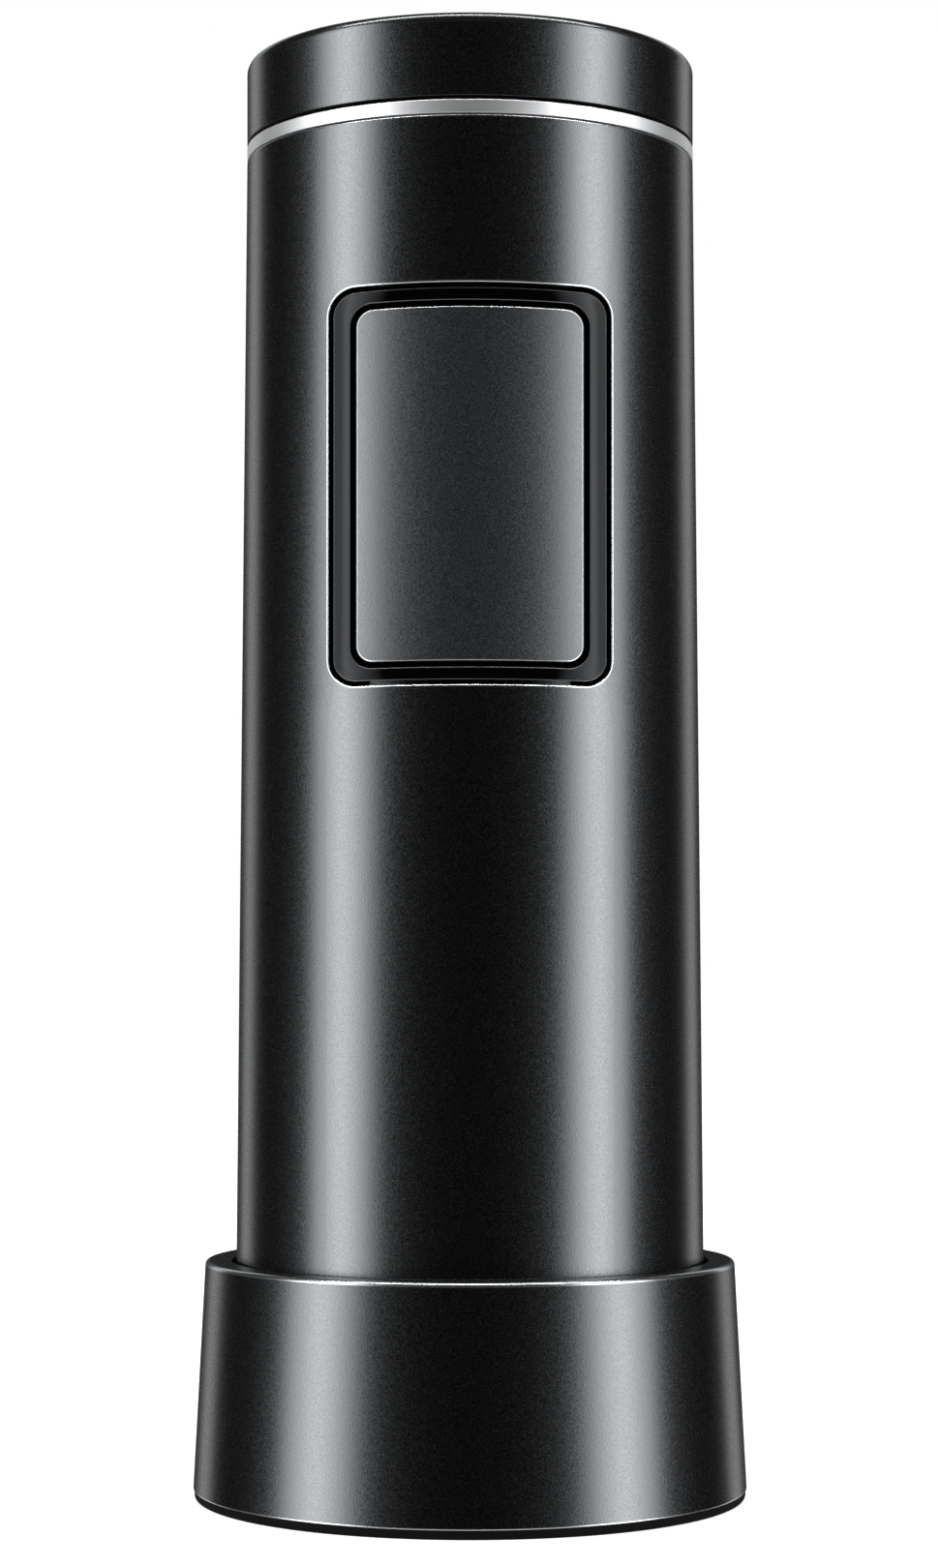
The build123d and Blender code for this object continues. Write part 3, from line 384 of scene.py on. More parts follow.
# The base's shell is a turned and tapered ring of that aluminium. Its rim is rounded over, its
# mouth clears the barrel by a shadow line, and it stands on a black rubber foot bonded under it.
# Here and below a profile's corners give radius, height, rounding in millimetres, and edge mark.
mm = 0.001
base_low, base_high = (np.array(corner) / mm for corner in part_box("base_shell"))
base_bottom_radius = base_high[0]
base_flare = 0.85
base_top_radius = base_bottom_radius - base_flare
base_wall = 0.9
base_rim_width = 1.83
base_lip = 1.2
base_rim_round = 0.30
base_foot_round = 0.10
foot_inset = 0.08
foot_round = 0.3
support = 0.02


def rounded_profile(corners, steps=7):
    """A profile's corners, each replaced by an arc tangent to both its sides.

    An arc's centre lies rounding / sin(half the corner's angle) from the corner, on its bisector. A
    support point just outside each end of an arc keeps the flats beside it flat. The third column
    of the result is the cut-edge mark."""
    pieces = []
    count = len(corners)
    for k, (radius, height, rounding, edge) in enumerate(corners):
        here = np.array((radius, height), float)
        if rounding == 0:
            pieces.append(np.array([[radius, height, edge]]))
            continue
        before = np.array(corners[k - 1][:2]) - here
        after = np.array(corners[(k + 1) % count][:2]) - here
        before /= np.linalg.norm(before)
        after /= np.linalg.norm(after)
        half = math.acos(np.clip(before @ after, -1, 1)) / 2
        reach = rounding / math.tan(half)
        middle = (before + after) / np.linalg.norm(before + after)
        centre = here + middle * rounding / math.sin(half)
        start = here + before * reach - centre
        end = here + after * reach - centre
        low = math.atan2(start[1], start[0])
        swing = (math.atan2(end[1], end[0]) - low + math.pi) % (2 * math.pi) - math.pi
        angles = low + swing * np.linspace(0, 1, steps)
        arc = centre + rounding * np.stack([np.cos(angles), np.sin(angles)], 1)
        arc = np.vstack([arc[:1] + before * support, arc, arc[-1:] + after * support])
        mark = np.full((len(arc), 1), edge)
        mark[[0, -1]] = 0
        pieces.append(np.hstack([arc, mark]))
    return np.vstack(pieces)


def grid_faces(rows, columns, close_rows):
    """Quads between neighbouring rows of a grid whose columns close on themselves."""
    last = rows if close_rows else rows - 1
    r = np.arange(last)[:, None]
    c = np.arange(columns)[None, :]
    up = (r + 1) % rows
    right = (c + 1) % columns
    return np.stack([r * columns + c, r * columns + right, up * columns + right, up * columns + c], -1)


def mesh_piece(name, points, faces, material, edge=None):
    """One smooth object at the origin from points in millimetres and lists of corners."""
    mesh = bpy.data.meshes.new(name)
    mesh.from_pydata((np.asarray(points) * mm).tolist(), [], faces)
    mesh.polygons.foreach_set("use_smooth", np.ones(len(mesh.polygons), bool))
    if edge is not None:
        mark = mesh.attributes.new("edge", "FLOAT", "POINT")
        mark.data.foreach_set("value", np.asarray(edge, np.float32))
    mesh.materials.append(material)
    piece = bpy.data.objects.new(name, mesh)
    bpy.context.scene.collection.objects.link(piece)
    return piece


def turned(name, corners, material, sides=288, steps=7):
    """A profile swept round Z: x = r cos a, y = r sin a. An end on the axis closes to one point.

    The profile runs anticlockwise as seen with the radius to the right, so that faces point out."""
    profile = rounded_profile(corners, steps)
    poles = profile[0, 0] == 0
    rings = profile[1:-1] if poles else profile
    a = np.linspace(0, 2 * math.pi, sides, endpoint=False)
    x = np.outer(rings[:, 0], np.cos(a))
    y = np.outer(rings[:, 0], np.sin(a))
    z = np.repeat(rings[:, 1:2], sides, 1)
    points = np.stack([x, y, z], -1).reshape(-1, 3)
    edge = np.repeat(rings[:, 2], sides)
    faces = grid_faces(len(rings), sides, not poles).reshape(-1, 4).tolist()
    if poles:
        c = np.arange(sides)
        right = (c + 1) % sides
        first, last = len(points), len(points) + 1
        top = (len(rings) - 1) * sides
        points = np.vstack([points, (0, 0, profile[0, 1]), (0, 0, profile[-1, 1])])
        edge = np.append(edge, (0, 0))
        faces += np.stack([right, c, np.full(sides, first)], 1).tolist()
        faces += np.stack([top + c, top + right, np.full(sides, last)], 1).tolist()
    return mesh_piece(name, points, faces, material, edge)


mouth_radius = base_top_radius - base_rim_width
shell_bore = base_top_radius - base_wall
base_shell = turned("shell_of_base", [
    (shell_bore, base_low[2], 0.1, 0),
    (base_bottom_radius, base_low[2], base_foot_round, 1),
    (base_top_radius, base_high[2], base_rim_round, 0.5),
    (mouth_radius, base_high[2], 0.12, 0.15),
    (mouth_radius, base_high[2] - base_lip, 0.1, 0),
    (shell_bore, base_high[2] - base_lip, 0.05, 0),
], anodised, steps=13)
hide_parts("base_shell")
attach(base_shell, "calibration_base")

rubber = finish("black_rubber", (0.003, 0.003, 0.0033), 0.72, specular=0.06, scale=2500, shade=0.35,
                relief=0.25)
foot_high = base_low[2]
foot_radius = base_bottom_radius - foot_inset
foot = turned("foot_of_base", [
    (0, 0, 0, 0),
    (foot_radius, 0, foot_round, 0),
    (foot_radius, foot_high, 0.05, 0),
    (0, foot_high, 0, 0),
], rubber)
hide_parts("base_foot_pad")
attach(foot, "calibration_base")

# Inside the base a moulded black cup centres the barrel, a rubber ring round its mouth grips it,
# and a white fired reference tile lies in the pocket of its floor. They show when it is lifted out.
moulded = finish("moulded_black", (0.014, 0.014, 0.015), 0.55, scale=2600, shade=0.25, relief=0.15)
liner_low, liner_high = (np.array(corner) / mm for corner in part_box("base_liner"))
liner_floor = 5.55
tile_clearance = 0.1
tile_low, tile_high = (np.array(corner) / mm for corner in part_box("calibration_tile"))
tile_radius = tile_high[0]
pocket_radius = tile_radius + tile_clearance
pocket_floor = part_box("tile_cushion")[0][2] / mm
liner = turned("cup_of_base", [
    (0, liner_low[2], 0, 0),
    (liner_high[0], liner_low[2], 0.1, 0),
    (liner_high[0], liner_high[2], 0.1, 0),
    (mouth_radius, liner_high[2], 0.2, 0),
    (mouth_radius, liner_floor, 0.25, 0),
    (pocket_radius, liner_floor, 0.12, 0),
    (pocket_radius, pocket_floor, 0.05, 0),
    (0, pocket_floor, 0, 0),
], moulded)
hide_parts("base_liner")
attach(liner, "calibration_base")

ceramic = finish("white_ceramic", (0.80, 0.80, 0.79), 0.22, specular=0.6, scale=900, shade=0.03,
                 relief=0.02)
tile = turned("reference_tile", [
    (0, tile_low[2], 0, 0),
    (tile_radius, tile_low[2], 0.1, 0),
    (tile_radius, tile_high[2], 0.3, 0),
    (0, tile_high[2], 0, 0),
], ceramic)
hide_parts("calibration_tile")
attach(tile, "calibration_base")


def cord_ring(name, centre_radius, centre_height, thickness, material, sides=216, round_steps=24):
    """A moulded O-ring: r = centre + t / 2 cos b, z = height + t / 2 sin b, carried round Z."""
    a = np.linspace(0, 2 * math.pi, sides, endpoint=False)[None, :]
    b = np.linspace(0, 2 * math.pi, round_steps, endpoint=False)[:, None]
    radius = centre_radius + thickness / 2 * np.cos(b)
    z = centre_height + thickness / 2 * np.sin(b) + 0 * a
    points = np.stack([radius * np.cos(a), radius * np.sin(a), z], -1).reshape(-1, 3)
    faces = grid_faces(round_steps, sides, True).reshape(-1, 4).tolist()
    return mesh_piece(name, points, faces, material)


grip_low, grip_high = (np.array(corner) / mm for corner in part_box("grip_ring"))
grip_thickness = grip_high[2] - grip_low[2]
grip_radius = grip_high[0] - grip_thickness / 2
grip_height = (grip_low[2] + grip_high[2]) / 2
grip = cord_ring("grip_o_ring", grip_radius, grip_height, grip_thickness, rubber)
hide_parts("grip_ring")
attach(grip, "calibration_base")

# The barrel is drawn aluminium tube, turned to a slight taper and anodised. The display's recess is
# milled through its front with a bright cut edge, and the charging port through its back. The edge
# marks of its ends are those of the rim at the cap and of the foot in the base.
barrel_low, barrel_high = (np.array(corner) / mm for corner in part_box("barrel"))
barrel_bottom_radius = 16.35
barrel_top_radius = 15.5
barrel_bore = 13.9
barrel_edge = 0.14
rim_mark, foot_mark = 0.5, 0.3
edge_steps = 6
window_width, window_height, window_corner = 18.7, 26.3, 1.8
window_centre = 68.5
window_edge = 0.11
window_mark = 0.3
pocket_depth = 12.2
well_width, well_height = 14.4, 24.64
port_width, port_height, port_corner = 9.64, 3.9, 1.6
port_centre = 82.2
port_edge = 0.09


def barrel_radius(z):
    """Outside radius of the barrel at a height: a straight taper from its foot to its top."""
    share = (z - barrel_low[2]) / (barrel_high[2] - barrel_low[2])
    return barrel_bottom_radius + (barrel_top_radius - barrel_bottom_radius) * share


def round_corners(x, z, half_width, half_height, corner):
    """Draws points near a rectangle's corners on to its rounded outline.

    The nearest point of the rectangle to each point moves to the corner's arc, and the point
    moves by the same amount, less with its distance from the rectangle."""
    nearest_x = np.clip(x, -half_width, half_width)
    nearest_z = np.clip(z, -half_height, half_height)
    centre_x = np.sign(nearest_x) * (half_width - corner)
    centre_z = np.sign(nearest_z) * (half_height - corner)
    out_x = nearest_x - centre_x
    out_z = nearest_z - centre_z
    in_corner = (np.abs(nearest_x) > half_width - corner) & (np.abs(nearest_z) > half_height - corner)
    length = np.maximum(np.hypot(out_x, out_z), 1e-9)
    gap = np.hypot(x - nearest_x, z - nearest_z)
    fade = np.where(in_corner, np.exp(-((gap / corner) ** 2)), 0)
    move_x = (centre_x + corner * out_x / length - nearest_x) * fade
    move_z = (centre_z + corner * out_z / length - nearest_z) * fade
    return x + move_x, z + move_z


window_columns, side_columns, port_columns = 44, 60, 24
row_counts = (1, 24, 1, 82, 1, 6, 1, 10, 1, 14, 1)
flank = 0.06


def pierced_wall(radius, window, port, low, high):
    """Rows of points on a round wall whose grid lines run along two openings in it.

    From the middle of the front round to the middle of the back, columns are even in x across
    each opening, where the angle is asin(x / radius), and even in angle between them. Rows are
    even in height between the ends of the wall and of the openings. A narrow row or column flanks
    each edge, to keep its rounding out of the wall. Corners are then rounded."""
    window_ends = window_centre - window[1], window_centre + window[1]
    port_ends = port_centre - port[1], port_centre + port[1]
    stops = (
        low, low + flank, window_ends[0] - flank, window_ends[0], port_ends[0] - flank, port_ends[0],
        window_ends[1], window_ends[1] + flank, port_ends[1], port_ends[1] + flank, high - flank, high,
    )
    runs = [np.linspace(a, b, n, endpoint=False) for a, b, n in zip(stops, stops[1:], row_counts)]
    z = np.append(np.concatenate(runs), high)[:, None]
    across = np.linspace(0, window[0], window_columns + 1)[None, :]
    front = np.arcsin(across / radius(z))
    across = np.linspace(port[0], 0, port_columns + 1)[None, :]
    back = math.pi - np.arcsin(across / radius(z))
    share = np.linspace(0, 1, side_columns - 1)[None, :]
    first, last = front[:, -1:] + flank / radius(z), back[:, :1] - flank / radius(z)
    between = first + (last - first) * share
    half = np.hstack([front, between, back])
    angle = np.hstack([half, -half[:, -2:0:-1]])
    z = np.repeat(z, angle.shape[1], 1)
    for centre, opening, facing in ((window_centre, window, -1), (port_centre, port, 1)):
        x = radius(z) * np.sin(angle)
        near = np.cos(angle) * -facing > 0
        new_x, new_z = round_corners(x, z - centre, *opening)
        turned_angle = np.arcsin(np.clip(new_x / radius(new_z + centre), -1, 1))
        turned_angle = np.where(facing < 0, turned_angle, math.pi - turned_angle)
        moved = near & ((np.abs(new_x - x) > 1e-9) | (np.abs(new_z - z + centre) > 1e-9))
        angle = np.where(moved, turned_angle, angle)
        z = np.where(moved, new_z + centre, z)
    return np.stack([radius(z) * np.sin(angle), -radius(z) * np.cos(angle), z], -1)


def loop_cells(rows, columns, row_span, column_span):
    """The grid points round a block of cells, in order, and a mask of the cells inside it."""
    r0, r1 = row_span
    c = np.arange(column_span[0], column_span[1] + 1) % columns
    r = np.arange(r0, r1 + 1)
    loop_r = np.concatenate([np.full(len(c) - 1, r0), r[:-1], np.full(len(c) - 1, r1), r[:0:-1]])
    loop_c = np.concatenate([c[:-1], np.full(len(r) - 1, c[-1]), c[:0:-1], np.full(len(r) - 1, c[0])])
    inside = np.zeros((rows, columns), bool)
    inside[np.ix_(np.arange(r0, r1), c[:-1])] = True
    return loop_r, loop_c, inside


def barrel_mesh():
    """The barrel's points, faces and edge marks: one closed grid of rows, up the outside, over the
    top, down the bore and back under the foot, with a walled opening for the window and the port."""
    foot, top = barrel_low[2] + barrel_edge, barrel_high[2] - barrel_edge
    window = np.array((window_width / 2, window_height / 2, window_corner))
    port = np.array((port_width / 2, port_height / 2, port_corner))
    well = (well_width / 2, well_height / 2, window_corner)
    outer = pierced_wall(barrel_radius, window + window_edge, port + port_edge, foot, top)
    inner = pierced_wall(lambda z: np.full_like(z, barrel_bore), well, port, foot, top)
    wall_rows, columns = outer.shape[:2]
    around = outer[-1, :, :2] / np.linalg.norm(outer[-1, :, :2], axis=1, keepdims=True)

    def edge_rows(radius, height, side, up):
        """A quarter round over an edge of the tube: radius + side e (cos t - 1), height + up e sin t.

        Side is 1 outside and -1 in the bore, up is 1 at the top and -1 at the foot."""
        t = np.linspace(0, math.pi / 2, edge_steps)[1:]
        ring = radius + side * barrel_edge * (np.cos(t) - 1)
        lift = height + up * barrel_edge * np.sin(t)
        flat = around[None] * ring[:, None, None]
        return np.concatenate([flat, np.broadcast_to(lift[:, None, None], flat.shape[:2] + (1,))], 2)

    over_top = edge_rows(barrel_radius(top), top, 1, 1)
    into_bore = edge_rows(barrel_bore, top, -1, 1)[::-1]
    out_of_bore = edge_rows(barrel_bore, foot, -1, -1)
    under_foot = edge_rows(barrel_radius(foot), foot, 1, -1)[::-1]
    rows = [outer, over_top, into_bore, inner[::-1], out_of_bore, under_foot]
    marks = [0, rim_mark, 0, 0, 0, foot_mark]
    points = np.concatenate(rows)
    mark = np.concatenate([np.full(len(r) * columns, m) for r, m in zip(rows, marks)])
    total = len(points)
    inner_start = wall_rows + len(over_top) + len(into_bore)

    rows_at = np.cumsum((0,) + row_counts)
    window_span = (rows_at[3], rows_at[6]), (-window_columns, window_columns)
    half = window_columns + side_columns + port_columns
    port_span = (rows_at[5], rows_at[8]), (half - port_columns, half + port_columns)
    keep = np.ones((total, columns), bool)
    extra_points, extra_faces, extra_marks = [], [], []
    count = total * columns
    openings = (
        (*window_span, window_centre, window_edge, 1, pocket_depth),
        (*port_span, port_centre, port_edge, -1, None),
    )
    for row_span, column_span, centre, corner, facing, floor in openings:
        loop_r, loop_c, inside = loop_cells(wall_rows, columns, row_span, column_span)
        keep[:wall_rows] &= ~inside
        keep[inner_start:inner_start + wall_rows - 1] &= ~inside[:-1][::-1]
        start = outer[loop_r, loop_c]
        end = inner[loop_r, loop_c]
        along = np.roll(start, -1, 0) - np.roll(start, 1, 0)
        inward = np.stack([-along[:, 2], along[:, 0]], 1)
        inward /= np.linalg.norm(inward, axis=1, keepdims=True)
        towards_middle = np.array((0, centre)) - start[:, [0, 2]]
        inward *= np.sign((inward * towards_middle).sum(1).mean())
        loops, loop_marks = [], []
        for t in np.linspace(0, math.pi / 2, edge_steps)[1:]:
            x = start[:, 0] + inward[:, 0] * corner * math.sin(t)
            z = start[:, 2] + inward[:, 1] * corner * math.sin(t)
            reach = np.sqrt(barrel_radius(z) ** 2 - x ** 2)
            y = -facing * (reach - corner * (1 - math.cos(t)))
            loops.append(np.stack([x, y, z], 1))
            loop_marks.append(1.0)
        loop_marks[-1] = 0
        wall_x, wall_z = loops[-1][:, 0], loops[-1][:, 2]
        loops.append(loops[-1] + np.array((0, facing * support, 0)))
        loop_marks.append(0)
        if floor:
            depth = np.full_like(wall_x, -facing * floor)
            loops.append(np.stack([wall_x, depth, wall_z], 1))
            loops.append(np.stack([end[:, 0], depth, end[:, 2]], 1))
            loop_marks += [0, 0]
        size = len(start)
        outer_loop = loop_r * columns + loop_c
        mark[outer_loop] = window_mark
        inner_loop = (inner_start + wall_rows - 1 - loop_r) * columns + loop_c
        between = [count + k * size + np.arange(size) for k in range(len(loops))]
        indices = [outer_loop] + between + [inner_loop]
        for near, far in zip(indices, indices[1:]):
            quads = np.stack([near, np.roll(near, -1), np.roll(far, -1), far], 1)
            extra_faces.append(quads)
        extra_points += loops
        extra_marks += [np.full(size, m) for m in loop_marks]
        count += len(loops) * size
    faces = grid_faces(total, columns, True)[keep]
    points = np.vstack([points.reshape(-1, 3)] + extra_points)
    faces = faces.tolist() + np.vstack(extra_faces).tolist()
    return points, faces, np.concatenate([mark] + extra_marks)


points, faces, edge_mark = barrel_mesh()
barrel = mesh_piece("tube_of_barrel", points, faces, anodised, edge_mark)
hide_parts("barrel")
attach(barrel, "instrument")

# The display's cover has two pieces. A glossy black bezel, a little lower at its outer edge, stands
# in the recess with a dark gap round it, and a smoked satin pane stands in the bezel. Both are
# curved like the barrel, and each outline gives half width, half height and corner radius.
bezel_half = (9.03, 12.83, 1.48)
opening_half = (7.9, 12.0, 1.43)
bezel_recess = 0.12
bezel_crown = 0.05
bezel_steps = 7
bezel_back = pocket_depth
bezel_ledge = 12.6
ledge_width = 1.6
pane_half = (7.51, 11.60, 1.1)
pane_recess = 0.10
bezel_edge = 0.06
pane_edge = 0.11
pane_rings = 24
pane_back_inset = 0.05


def outline(half_width, half_height, corner, straight=40, arc=14):
    """Points in order round a rounded rectangle: four quarter arcs joined by straight runs, x and z."""
    a = np.linspace(0, math.pi / 2, arc)
    parts = []
    for k, (side_x, side_z) in enumerate(((1, 1), (-1, 1), (-1, -1), (1, -1))):
        swing = a + k * math.pi / 2
        x = side_x * (half_width - corner) + corner * np.cos(swing)
        z = side_z * (half_height - corner) + corner * np.sin(swing)
        parts.append(np.stack([x, z], 1))
    run = np.linspace(0, 1, straight + 1)[1:-1, None]
    loop = []
    for k in range(4):
        start, end = parts[k][-1], parts[(k + 1) % 4][0]
        loop += [parts[k], start + (end - start) * run]
    return np.vstack(loop)


def curved_loop(half, grow, recess, drop, depth=None):
    """An outline grown or shrunk by an amount, laid on the barrel's taper less a recess and a drop,
    or on the upright plane at a depth. y = -(sqrt((radius - recess)^2 - x^2) - drop)."""
    x, z = outline(half[0] + grow, half[1] + grow, max(half[2] + grow, 0.05)).T
    if depth is not None:
        return np.stack([x, np.full_like(x, -depth), z + window_centre], 1)
    reach = np.sqrt((barrel_radius(z + window_centre) - recess) ** 2 - x ** 2)
    return np.stack([x, -(reach - drop), z + window_centre], 1)


def rolled_edge(half, rounding, recess, inside, steps=7):
    """Loops over a quarter round from an upright wall to the curved face.

    The inset is r (1 - sin t) and the drop r (1 - cos t), with t from 90 degrees to 0."""
    sign = 1 if inside else -1
    loops = []
    for t in np.linspace(math.pi / 2, 0, steps):
        inset, drop = rounding * (1 - math.sin(t)), rounding * (1 - math.cos(t))
        loops.append(curved_loop(half, sign * inset, recess, drop))
    return loops


def ring_loft(name, loops, material, marks):
    """A closed ring through loops of equal length, the last joined to the first."""
    size = len(loops[0])
    faces = grid_faces(len(loops), size, True).reshape(-1, 4)
    return mesh_piece(name, np.vstack(loops), faces.tolist(), material, np.repeat(marks, size))


gloss = finish("bezel_gloss", (0.0008, 0.0008, 0.001), 0.09, specular=0.12, tint=cool, scale=1200,
               shade=0.12, relief=0.01)
cut_edges(gloss, (0.12, 0.12, 0.125), 0.6, 0.35)
outer_edge = rolled_edge(bezel_half, bezel_edge, bezel_recess + bezel_crown, False)
inner_edge = rolled_edge(opening_half, bezel_edge, bezel_recess, True)[::-1]
margin = bezel_edge + support
loops = [curved_loop(bezel_half, 0, 0, 0, bezel_back)] + outer_edge
for share in np.linspace(0, 1, bezel_steps):
    ends = zip(bezel_half, opening_half)
    face_half = tuple((a - margin) * (1 - share) + (b + margin) * share for a, b in ends)
    loops += [curved_loop(face_half, 0, bezel_recess + bezel_crown * (1 - share) ** 2, 0)]
loops += inner_edge
loops += [curved_loop(opening_half, 0, 0, 0, bezel_ledge)]
for depth in (bezel_ledge, bezel_back):
    loops += [curved_loop(opening_half, -ledge_width, 0, 0, depth)]
marks = np.zeros(len(loops))
marks[3:len(outer_edge)] = marks[len(outer_edge) + bezel_steps + 2:-4] = 1
bezel = ring_loft("bezel_of_window", loops, gloss, marks)
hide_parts("window_bezel")
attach(bezel, "instrument")


def closed_loft(name, loops, centre_front, centre_back, material, marks):
    """A body through loops of equal length, closed by a fan at the middle of its front and its back."""
    size = len(loops[0])
    faces = grid_faces(len(loops), size, False).reshape(-1, 4).tolist()
    points = np.vstack(loops + [centre_back, centre_front])
    c = np.arange(size)
    right = (c + 1) % size
    last = (len(loops) - 1) * size
    faces += np.stack([right, c, np.full(size, len(loops) * size)], 1).tolist()
    faces += np.stack([last + c, last + right, np.full(size, len(loops) * size + 1)], 1).tolist()
    return mesh_piece(name, points, faces, material, np.append(np.repeat(marks, size), (0, 0)))


smoked = finish("smoked_satin", (0.0042, 0.0044, 0.005), 0.37, specular=1, ior=1.62, tint=cool,
                scale=9000, shade=1.0, relief=0.12)
cut_edges(smoked, (0.50, 0.51, 0.52), 0.9, 0.22)
edge_loops = rolled_edge(pane_half, pane_edge, pane_recess, False)
shrinks = np.linspace(0, 1, pane_rings + 2)[1:-1]
face_half = tuple(v - pane_edge for v in pane_half)
face_loops = [curved_loop(tuple(v * (1 - s) for v in face_half), 0, pane_recess, 0) for s in shrinks]
loops = [curved_loop(pane_half, -pane_back_inset, 0, 0, bezel_ledge)] + edge_loops
loops += [curved_loop(pane_half, -pane_edge - support, pane_recess, 0)] + face_loops
marks = np.zeros(len(loops))
marks[2:len(edge_loops)] = 1
front = (0, -(barrel_radius(window_centre) - pane_recess), window_centre)
pane = closed_loft("pane_of_window", loops, front, (0, -bezel_ledge, window_centre), smoked, marks)
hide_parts("window_pane")
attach(pane, "instrument")

# The ring under the cap is turned from bright aluminium and satin polished, its two edges broken.
# Its spigot drops into the barrel and sets the ring a hair's breadth above the barrel's end.
ring_face_height = 0.9
spigot_wall = 0.45
slip = 0.05
ring_low, ring_high = (np.array(corner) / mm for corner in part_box("trim_ring"))
ring_shoulder = ring_high[2] - ring_face_height
ring_bore = barrel_bore - spigot_wall
satin_metal = finish("satin_bright_metal", (0.80, 0.81, 0.82), 0.44, metallic=1, scale=6000, shade=0.08)
ring = turned("ring_under_cap", [
    (ring_bore, ring_low[2], 0.05, 0),
    (barrel_bore - slip, ring_low[2], 0.1, 0),
    (barrel_bore - slip, ring_shoulder, 0.03, 0),
    (barrel_top_radius, ring_shoulder, 0.07, 0),
    (barrel_top_radius, ring_high[2], 0.07, 0),
    (ring_bore, ring_high[2], 0.1, 0),
], satin_metal)
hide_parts("trim_ring")
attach(ring, "instrument")

# The push button is a shallow cap of the same black aluminium. Its top is dished for a finger,
# its upper edge is rounded over, and its skirt hides the snap legs that hold it.
cap_low, cap_high = (np.array(corner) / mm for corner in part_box("button_cap"))
cap_radius = cap_high[0]
cap_wall = 1.3
cap_roof = 1.4
dish_radius = cap_radius - 3.1
dish_depth = 0.45
dish_rim = 0.3


def dish_corners(rings=24):
    """The dish from its rim to its middle: a shallow bowl, h = top - depth (1 - (r / rim)^2)."""
    r = np.linspace(dish_radius - dish_rim, 0, rings)
    h = cap_high[2] - dish_depth * (1 - (r / dish_radius) ** 2)
    return [(radius, height, 0, 0) for radius, height in zip(r, h)]


cap = turned("push_button_cap", [
    (0, cap_high[2] - cap_roof, 0, 0),
    (cap_radius - cap_wall, cap_high[2] - cap_roof, 0.1, 0),
    (cap_radius - cap_wall, cap_low[2], 0.08, 0),
    (cap_radius, cap_low[2], 0.06, 0),
    (cap_radius, cap_high[2], 0.70, 0.10),
    (dish_radius, cap_high[2], 0.25, 0),
] + dish_corners(), anodised, steps=11)
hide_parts("button_cap")
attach(cap, "measuring_button")

# The nose is a moulded black plate with a raised measuring ring round a small glass window. It
# faces the reference tile, and shows from below when the instrument is lifted off.
nose_low, nose_high = (np.array(corner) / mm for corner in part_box("nose_plate"))
nose_radius = nose_high[0]
flange_high = barrel_low[2]
aperture_low, aperture_high = (np.array(corner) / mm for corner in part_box("aperture_ring"))
aperture_radius = 4.0
aperture_outer = aperture_high[0]
glass_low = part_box("aperture_glass")[0][2] / mm
glass_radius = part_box("aperture_glass")[1][0] / mm
glass_seat = glass_radius + 0.1
throat_radius = aperture_radius + 0.2
nose = turned("nose_of_barrel", [
    (aperture_outer + slip, aperture_high[2], 0.02, 0),
    (aperture_outer + slip, nose_low[2], 0.1, 0),
    (nose_radius, nose_low[2], 0.4, 0),
    (nose_radius, flange_high, 0.05, 0),
    (barrel_bore - slip, flange_high, 0.05, 0),
    (barrel_bore - slip, nose_high[2], 0.1, 0),
    (glass_seat, nose_high[2], 0.05, 0),
    (glass_seat, glass_low, 0.02, 0),
    (throat_radius, glass_low, 0.05, 0),
    (throat_radius, aperture_high[2], 0.05, 0),
], moulded)
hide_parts("nose_plate")
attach(nose, "instrument")
aperture = turned("measuring_ring", [
    (aperture_radius, aperture_high[2], 0.05, 0),
    (aperture_radius, aperture_low[2], 0.15, 0),
    (aperture_outer, aperture_low[2], 0.2, 0),
    (aperture_outer, aperture_high[2], 0.05, 0),
], moulded)
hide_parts("aperture_ring")
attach(aperture, "instrument")

# What is inside keeps its own shape. Each kind of piece gets the finish of what it is made of:
# plain steel, moulded plastics, rubber, circuit board, flat cable, glass, and the cell's sleeve.
steel = finish("plain_steel", (0.50, 0.51, 0.52), 0.34, metallic=1, scale=3000, shade=0.20, relief=0.08)
brass = finish("gilt_pins", (0.80, 0.60, 0.26), 0.28, metallic=1, scale=3000, shade=0.10, relief=0.03)
board = finish("circuit_board", (0.020, 0.095, 0.050), 0.42, scale=700, shade=0.35, relief=0.12)
chip_case = finish("chip_case", (0.022, 0.022, 0.024), 0.60, scale=5000, shade=0.30, relief=0.20)
amber_film = finish("amber_film", (0.42, 0.19, 0.03), 0.30, specular=0.6, scale=500, shade=0.15,
                    relief=0.03)
ivory = finish("ivory_nylon", (0.58, 0.54, 0.44), 0.50, scale=2500, shade=0.08, relief=0.08)
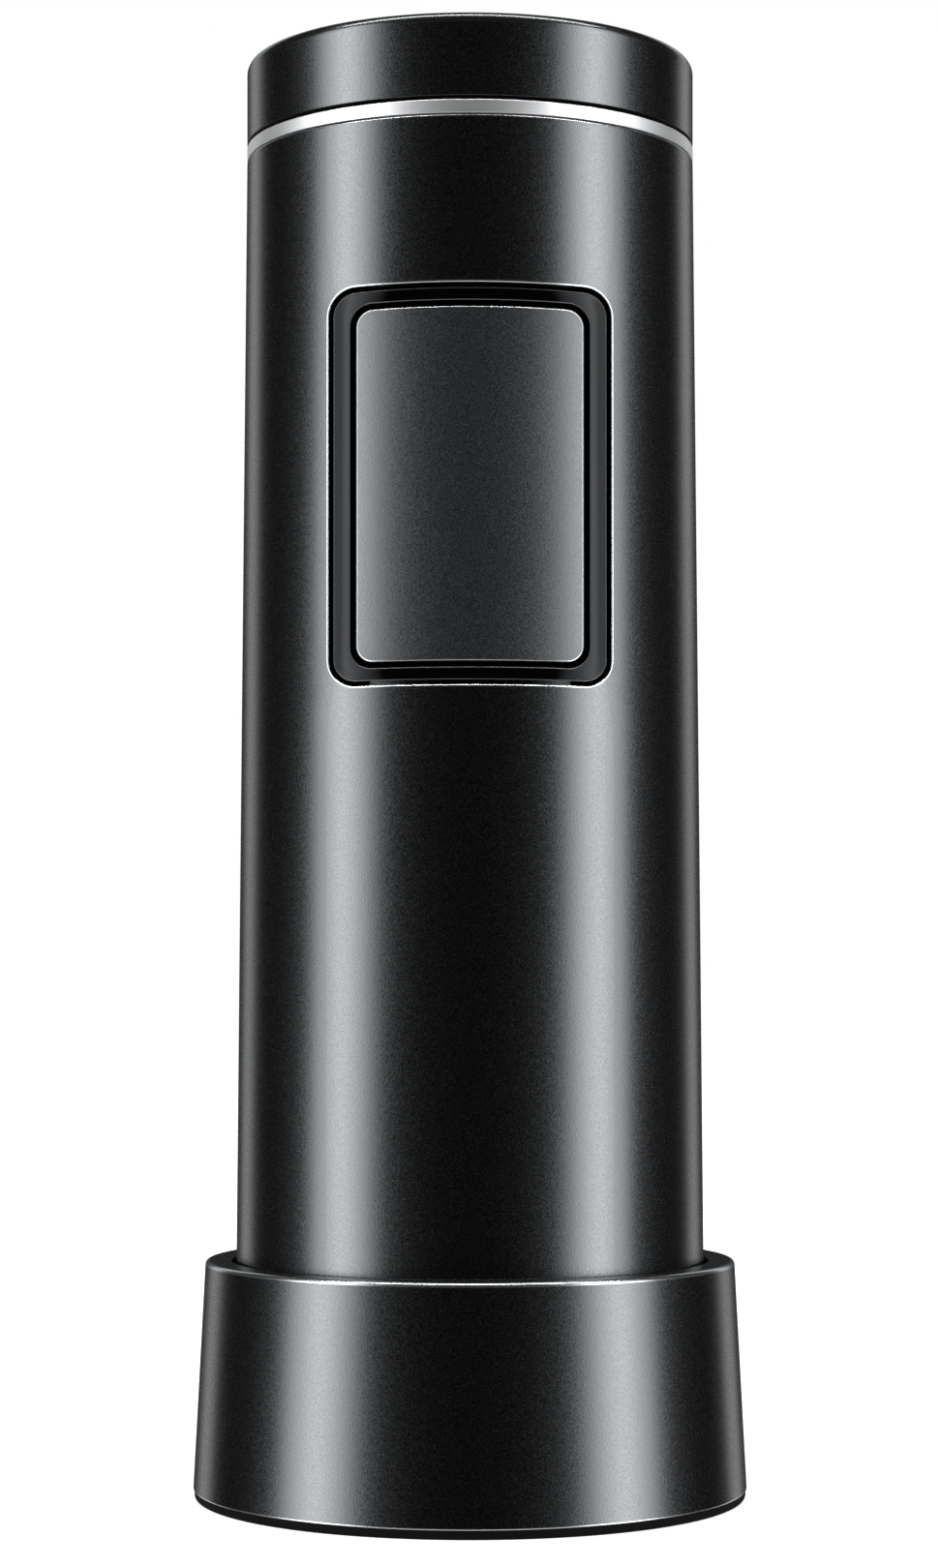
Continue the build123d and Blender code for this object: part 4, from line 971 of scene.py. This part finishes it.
sleeve = finish("cell_sleeve", (0.035, 0.11, 0.26), 0.30, specular=0.6, scale=600, shade=0.12,
                relief=0.06)
lead = finish("red_lead", (0.40, 0.02, 0.02), 0.45, scale=2500, shade=0.12, relief=0.06)
phosphor = finish("lamp_phosphor", (0.80, 0.74, 0.38), 0.35, scale=3000, shade=0.06, relief=0.03)
diffuser = finish("white_diffuser", (0.78, 0.79, 0.80), 0.50, scale=2000, shade=0.04, relief=0.03)
dark_panel = finish("dark_panel", (0.012, 0.012, 0.018), 0.12, specular=0.6, scale=900, shade=0.10,
                    relief=0.02)


def glass(name, color, roughness):
    """Clear optical glass with the faint waviness of the shared grain."""
    material = finish(name, color, roughness, scale=300.0, shade=0.02, relief=0.01)
    shader = material.node_tree.nodes["Principled BSDF"]
    shader.inputs["Transmission Weight"].default_value = 1.0
    shader.inputs["IOR"].default_value = 1.5
    return material


clear = glass("clear_glass", (0.96, 0.98, 0.98), 0.02)
tinted = glass("filter_glass", (0.62, 0.86, 0.84), 0.03)

kept = {
    steel: ("base_plate", "base_screws", "head_screws", "sensor_screws", "board_screws", "deck_screws",
            "port_shell", "radio_module"),
    brass: ("lamp_pins",),
    rubber: ("nose_seal", "window_gasket", "tile_cushion", "battery_pad"),
    moulded: ("head_housing", "head_cover", "detector_tube", "inner_frame", "display_carrier",
              "switch_deck", "button_core", "port_tongue", "sensor_spacers"),
    clear: ("aperture_glass", "detector_lens", "light_guide"),
    tinted: ("infrared_filter",),
    dark_panel: ("display_panel",),
    diffuser: ("display_backlight",),
    board: ("main_board", "sensor_board", "lamp_board", "port_board", "switch_board"),
    chip_case: ("board_chips", "colour_sensor", "board_passives", "tact_switch"),
    phosphor: ("lamps",),
    amber_film: ("display_ribbon", "sensor_ribbon", "switch_ribbon", "port_ribbon"),
    ivory: ("ribbon_sockets", "battery_socket", "switch_plunger"),
    sleeve: ("battery_cell",),
    lead: ("battery_leads",),
}
for material, names in kept.items():
    for name in names:
        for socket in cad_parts[name].material_slots:
            socket.material = material
